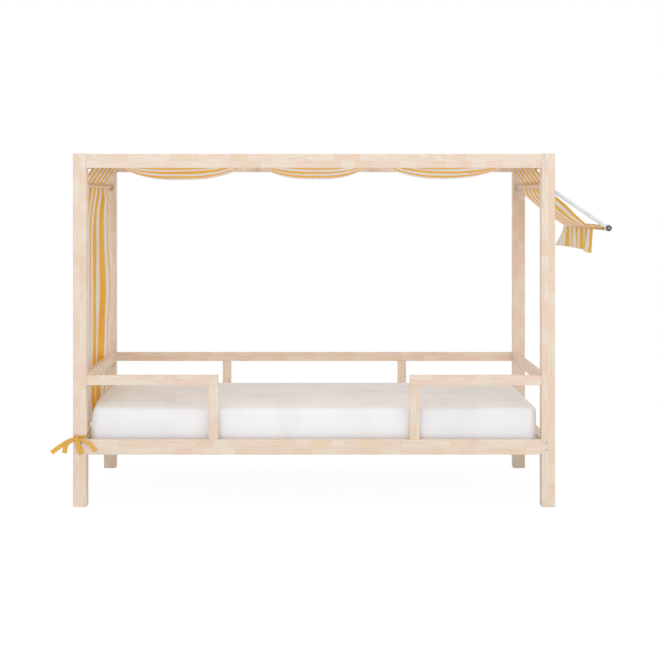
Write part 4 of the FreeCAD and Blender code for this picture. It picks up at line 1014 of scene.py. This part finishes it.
pad = makeMattress(mattress)
smooth = pad.modifiers.new("Finer", "SUBSURF")
smooth.levels = 1
smooth.render_levels = 1
pad.data.polygons.foreach_set("use_smooth", np.ones(len(pad.data.polygons), bool))
pad.data.materials.clear()
pad.data.materials.append(fittedSheet)
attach(pad, "mattress")
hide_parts("mattress")
print("mattress done")


studio = {
    "floorSize": 60.0,
    "floorGlow": 0.88,
    "floorWhite": 1.06,
    "ambient": 0.77,
    "front": {"at": (-1.2, -6.5, 3.2), "to": (0.0, 0.0, 0.8), "size": (5.0, 3.0), "power": 80.0},
    "fill": {"at": (3.5, -5.0, 2.0), "to": (0.3, 0.0, 0.7), "size": (3.0, 3.0), "power": 20.0},
    "top": {"at": (0.0, -0.5, 5.5), "to": (0.0, 0.0, 0.0), "size": (5.0, 4.0), "power": 40.0},
    "camera": {"at": (-0.069, -6.798, 1.366), "lens": 77.59, "shift": (0.0191, -0.198)},
}


def seenDirectly(tree):
    # 1 for what the camera, a reflection or clear material sees, 0 for the light that falls on things
    path = addNode(tree, "LightPath")
    seen = maths("MAXIMUM", path.outputs["Is Camera Ray"], path.outputs["Is Glossy Ray"])
    return maths("MAXIMUM", seen, path.outputs["Is Transmission Ray"])


def makeFloor(settings):
    half = settings["floorSize"] / 2
    corners = np.array([(-half, -half, 0), (half, -half, 0), (half, half, 0), (-half, half, 0)], float)
    floor = meshOf("floor", corners, np.array([[0, 1, 2, 3]]), {})
    material = bpy.data.materials.new("paleFloor")
    tree = cleared(material)
    matt = addNode(tree, "BsdfDiffuse", {"Color": tone(246, 246, 246)})
    glow = addNode(tree, "Emission", {"Color": (1, 1, 1, 1), "Strength": settings["floorWhite"]})
    share = times(seenDirectly(tree), settings["floorGlow"])
    both = addNode(tree, "MixShader", {0: share, 1: matt.outputs[0], 2: glow.outputs[0]})
    addNode(tree, "OutputMaterial", {"Surface": both.outputs[0]})
    floor.data.materials.append(material)


def makeWorld(settings):
    world = bpy.data.worlds.new("studio")
    bpy.context.scene.world = world
    tree = cleared(world)
    strength = ramp(seenDirectly(tree), 0.0, 1.0, settings["ambient"], 1.0)
    background = addNode(tree, "Background", {"Color": (1, 1, 1, 1), "Strength": strength})
    addNode(tree, "OutputWorld", {"Surface": background.outputs[0]})


def makeLamp(name, settings):
    light = bpy.data.lights.new(name, "AREA")
    light.shape = "RECTANGLE"
    light.size, light.size_y = settings["size"]
    light.energy = settings["power"]
    lamp = bpy.data.objects.new(name, light)
    bpy.context.scene.collection.objects.link(lamp)
    way = np.subtract(settings["to"], settings["at"])
    level = math.hypot(way[0], way[1])
    lamp.location = settings["at"]
    lamp.rotation_euler = (math.atan2(level, -way[2]), 0, math.atan2(way[1], way[0]) - math.pi / 2)


def makeCamera(settings):
    lens = bpy.data.cameras.new("camera")
    lens.sensor_width = 36.0
    lens.lens = settings["lens"]
    lens.shift_x, lens.shift_y = settings["shift"]
    lens.clip_end = 200.0
    camera = bpy.data.objects.new("camera", lens)
    camera.location = settings["at"]
    camera.rotation_euler = (math.pi / 2, 0, 0)
    bpy.context.scene.collection.objects.link(camera)
    bpy.context.scene.camera = camera


makeFloor(studio)
makeWorld(studio)
for part in ("front", "fill", "top"):
    makeLamp(part, studio[part])
makeCamera(studio["camera"])
bpy.context.scene.view_settings.view_transform = "Standard"
print("studio done")
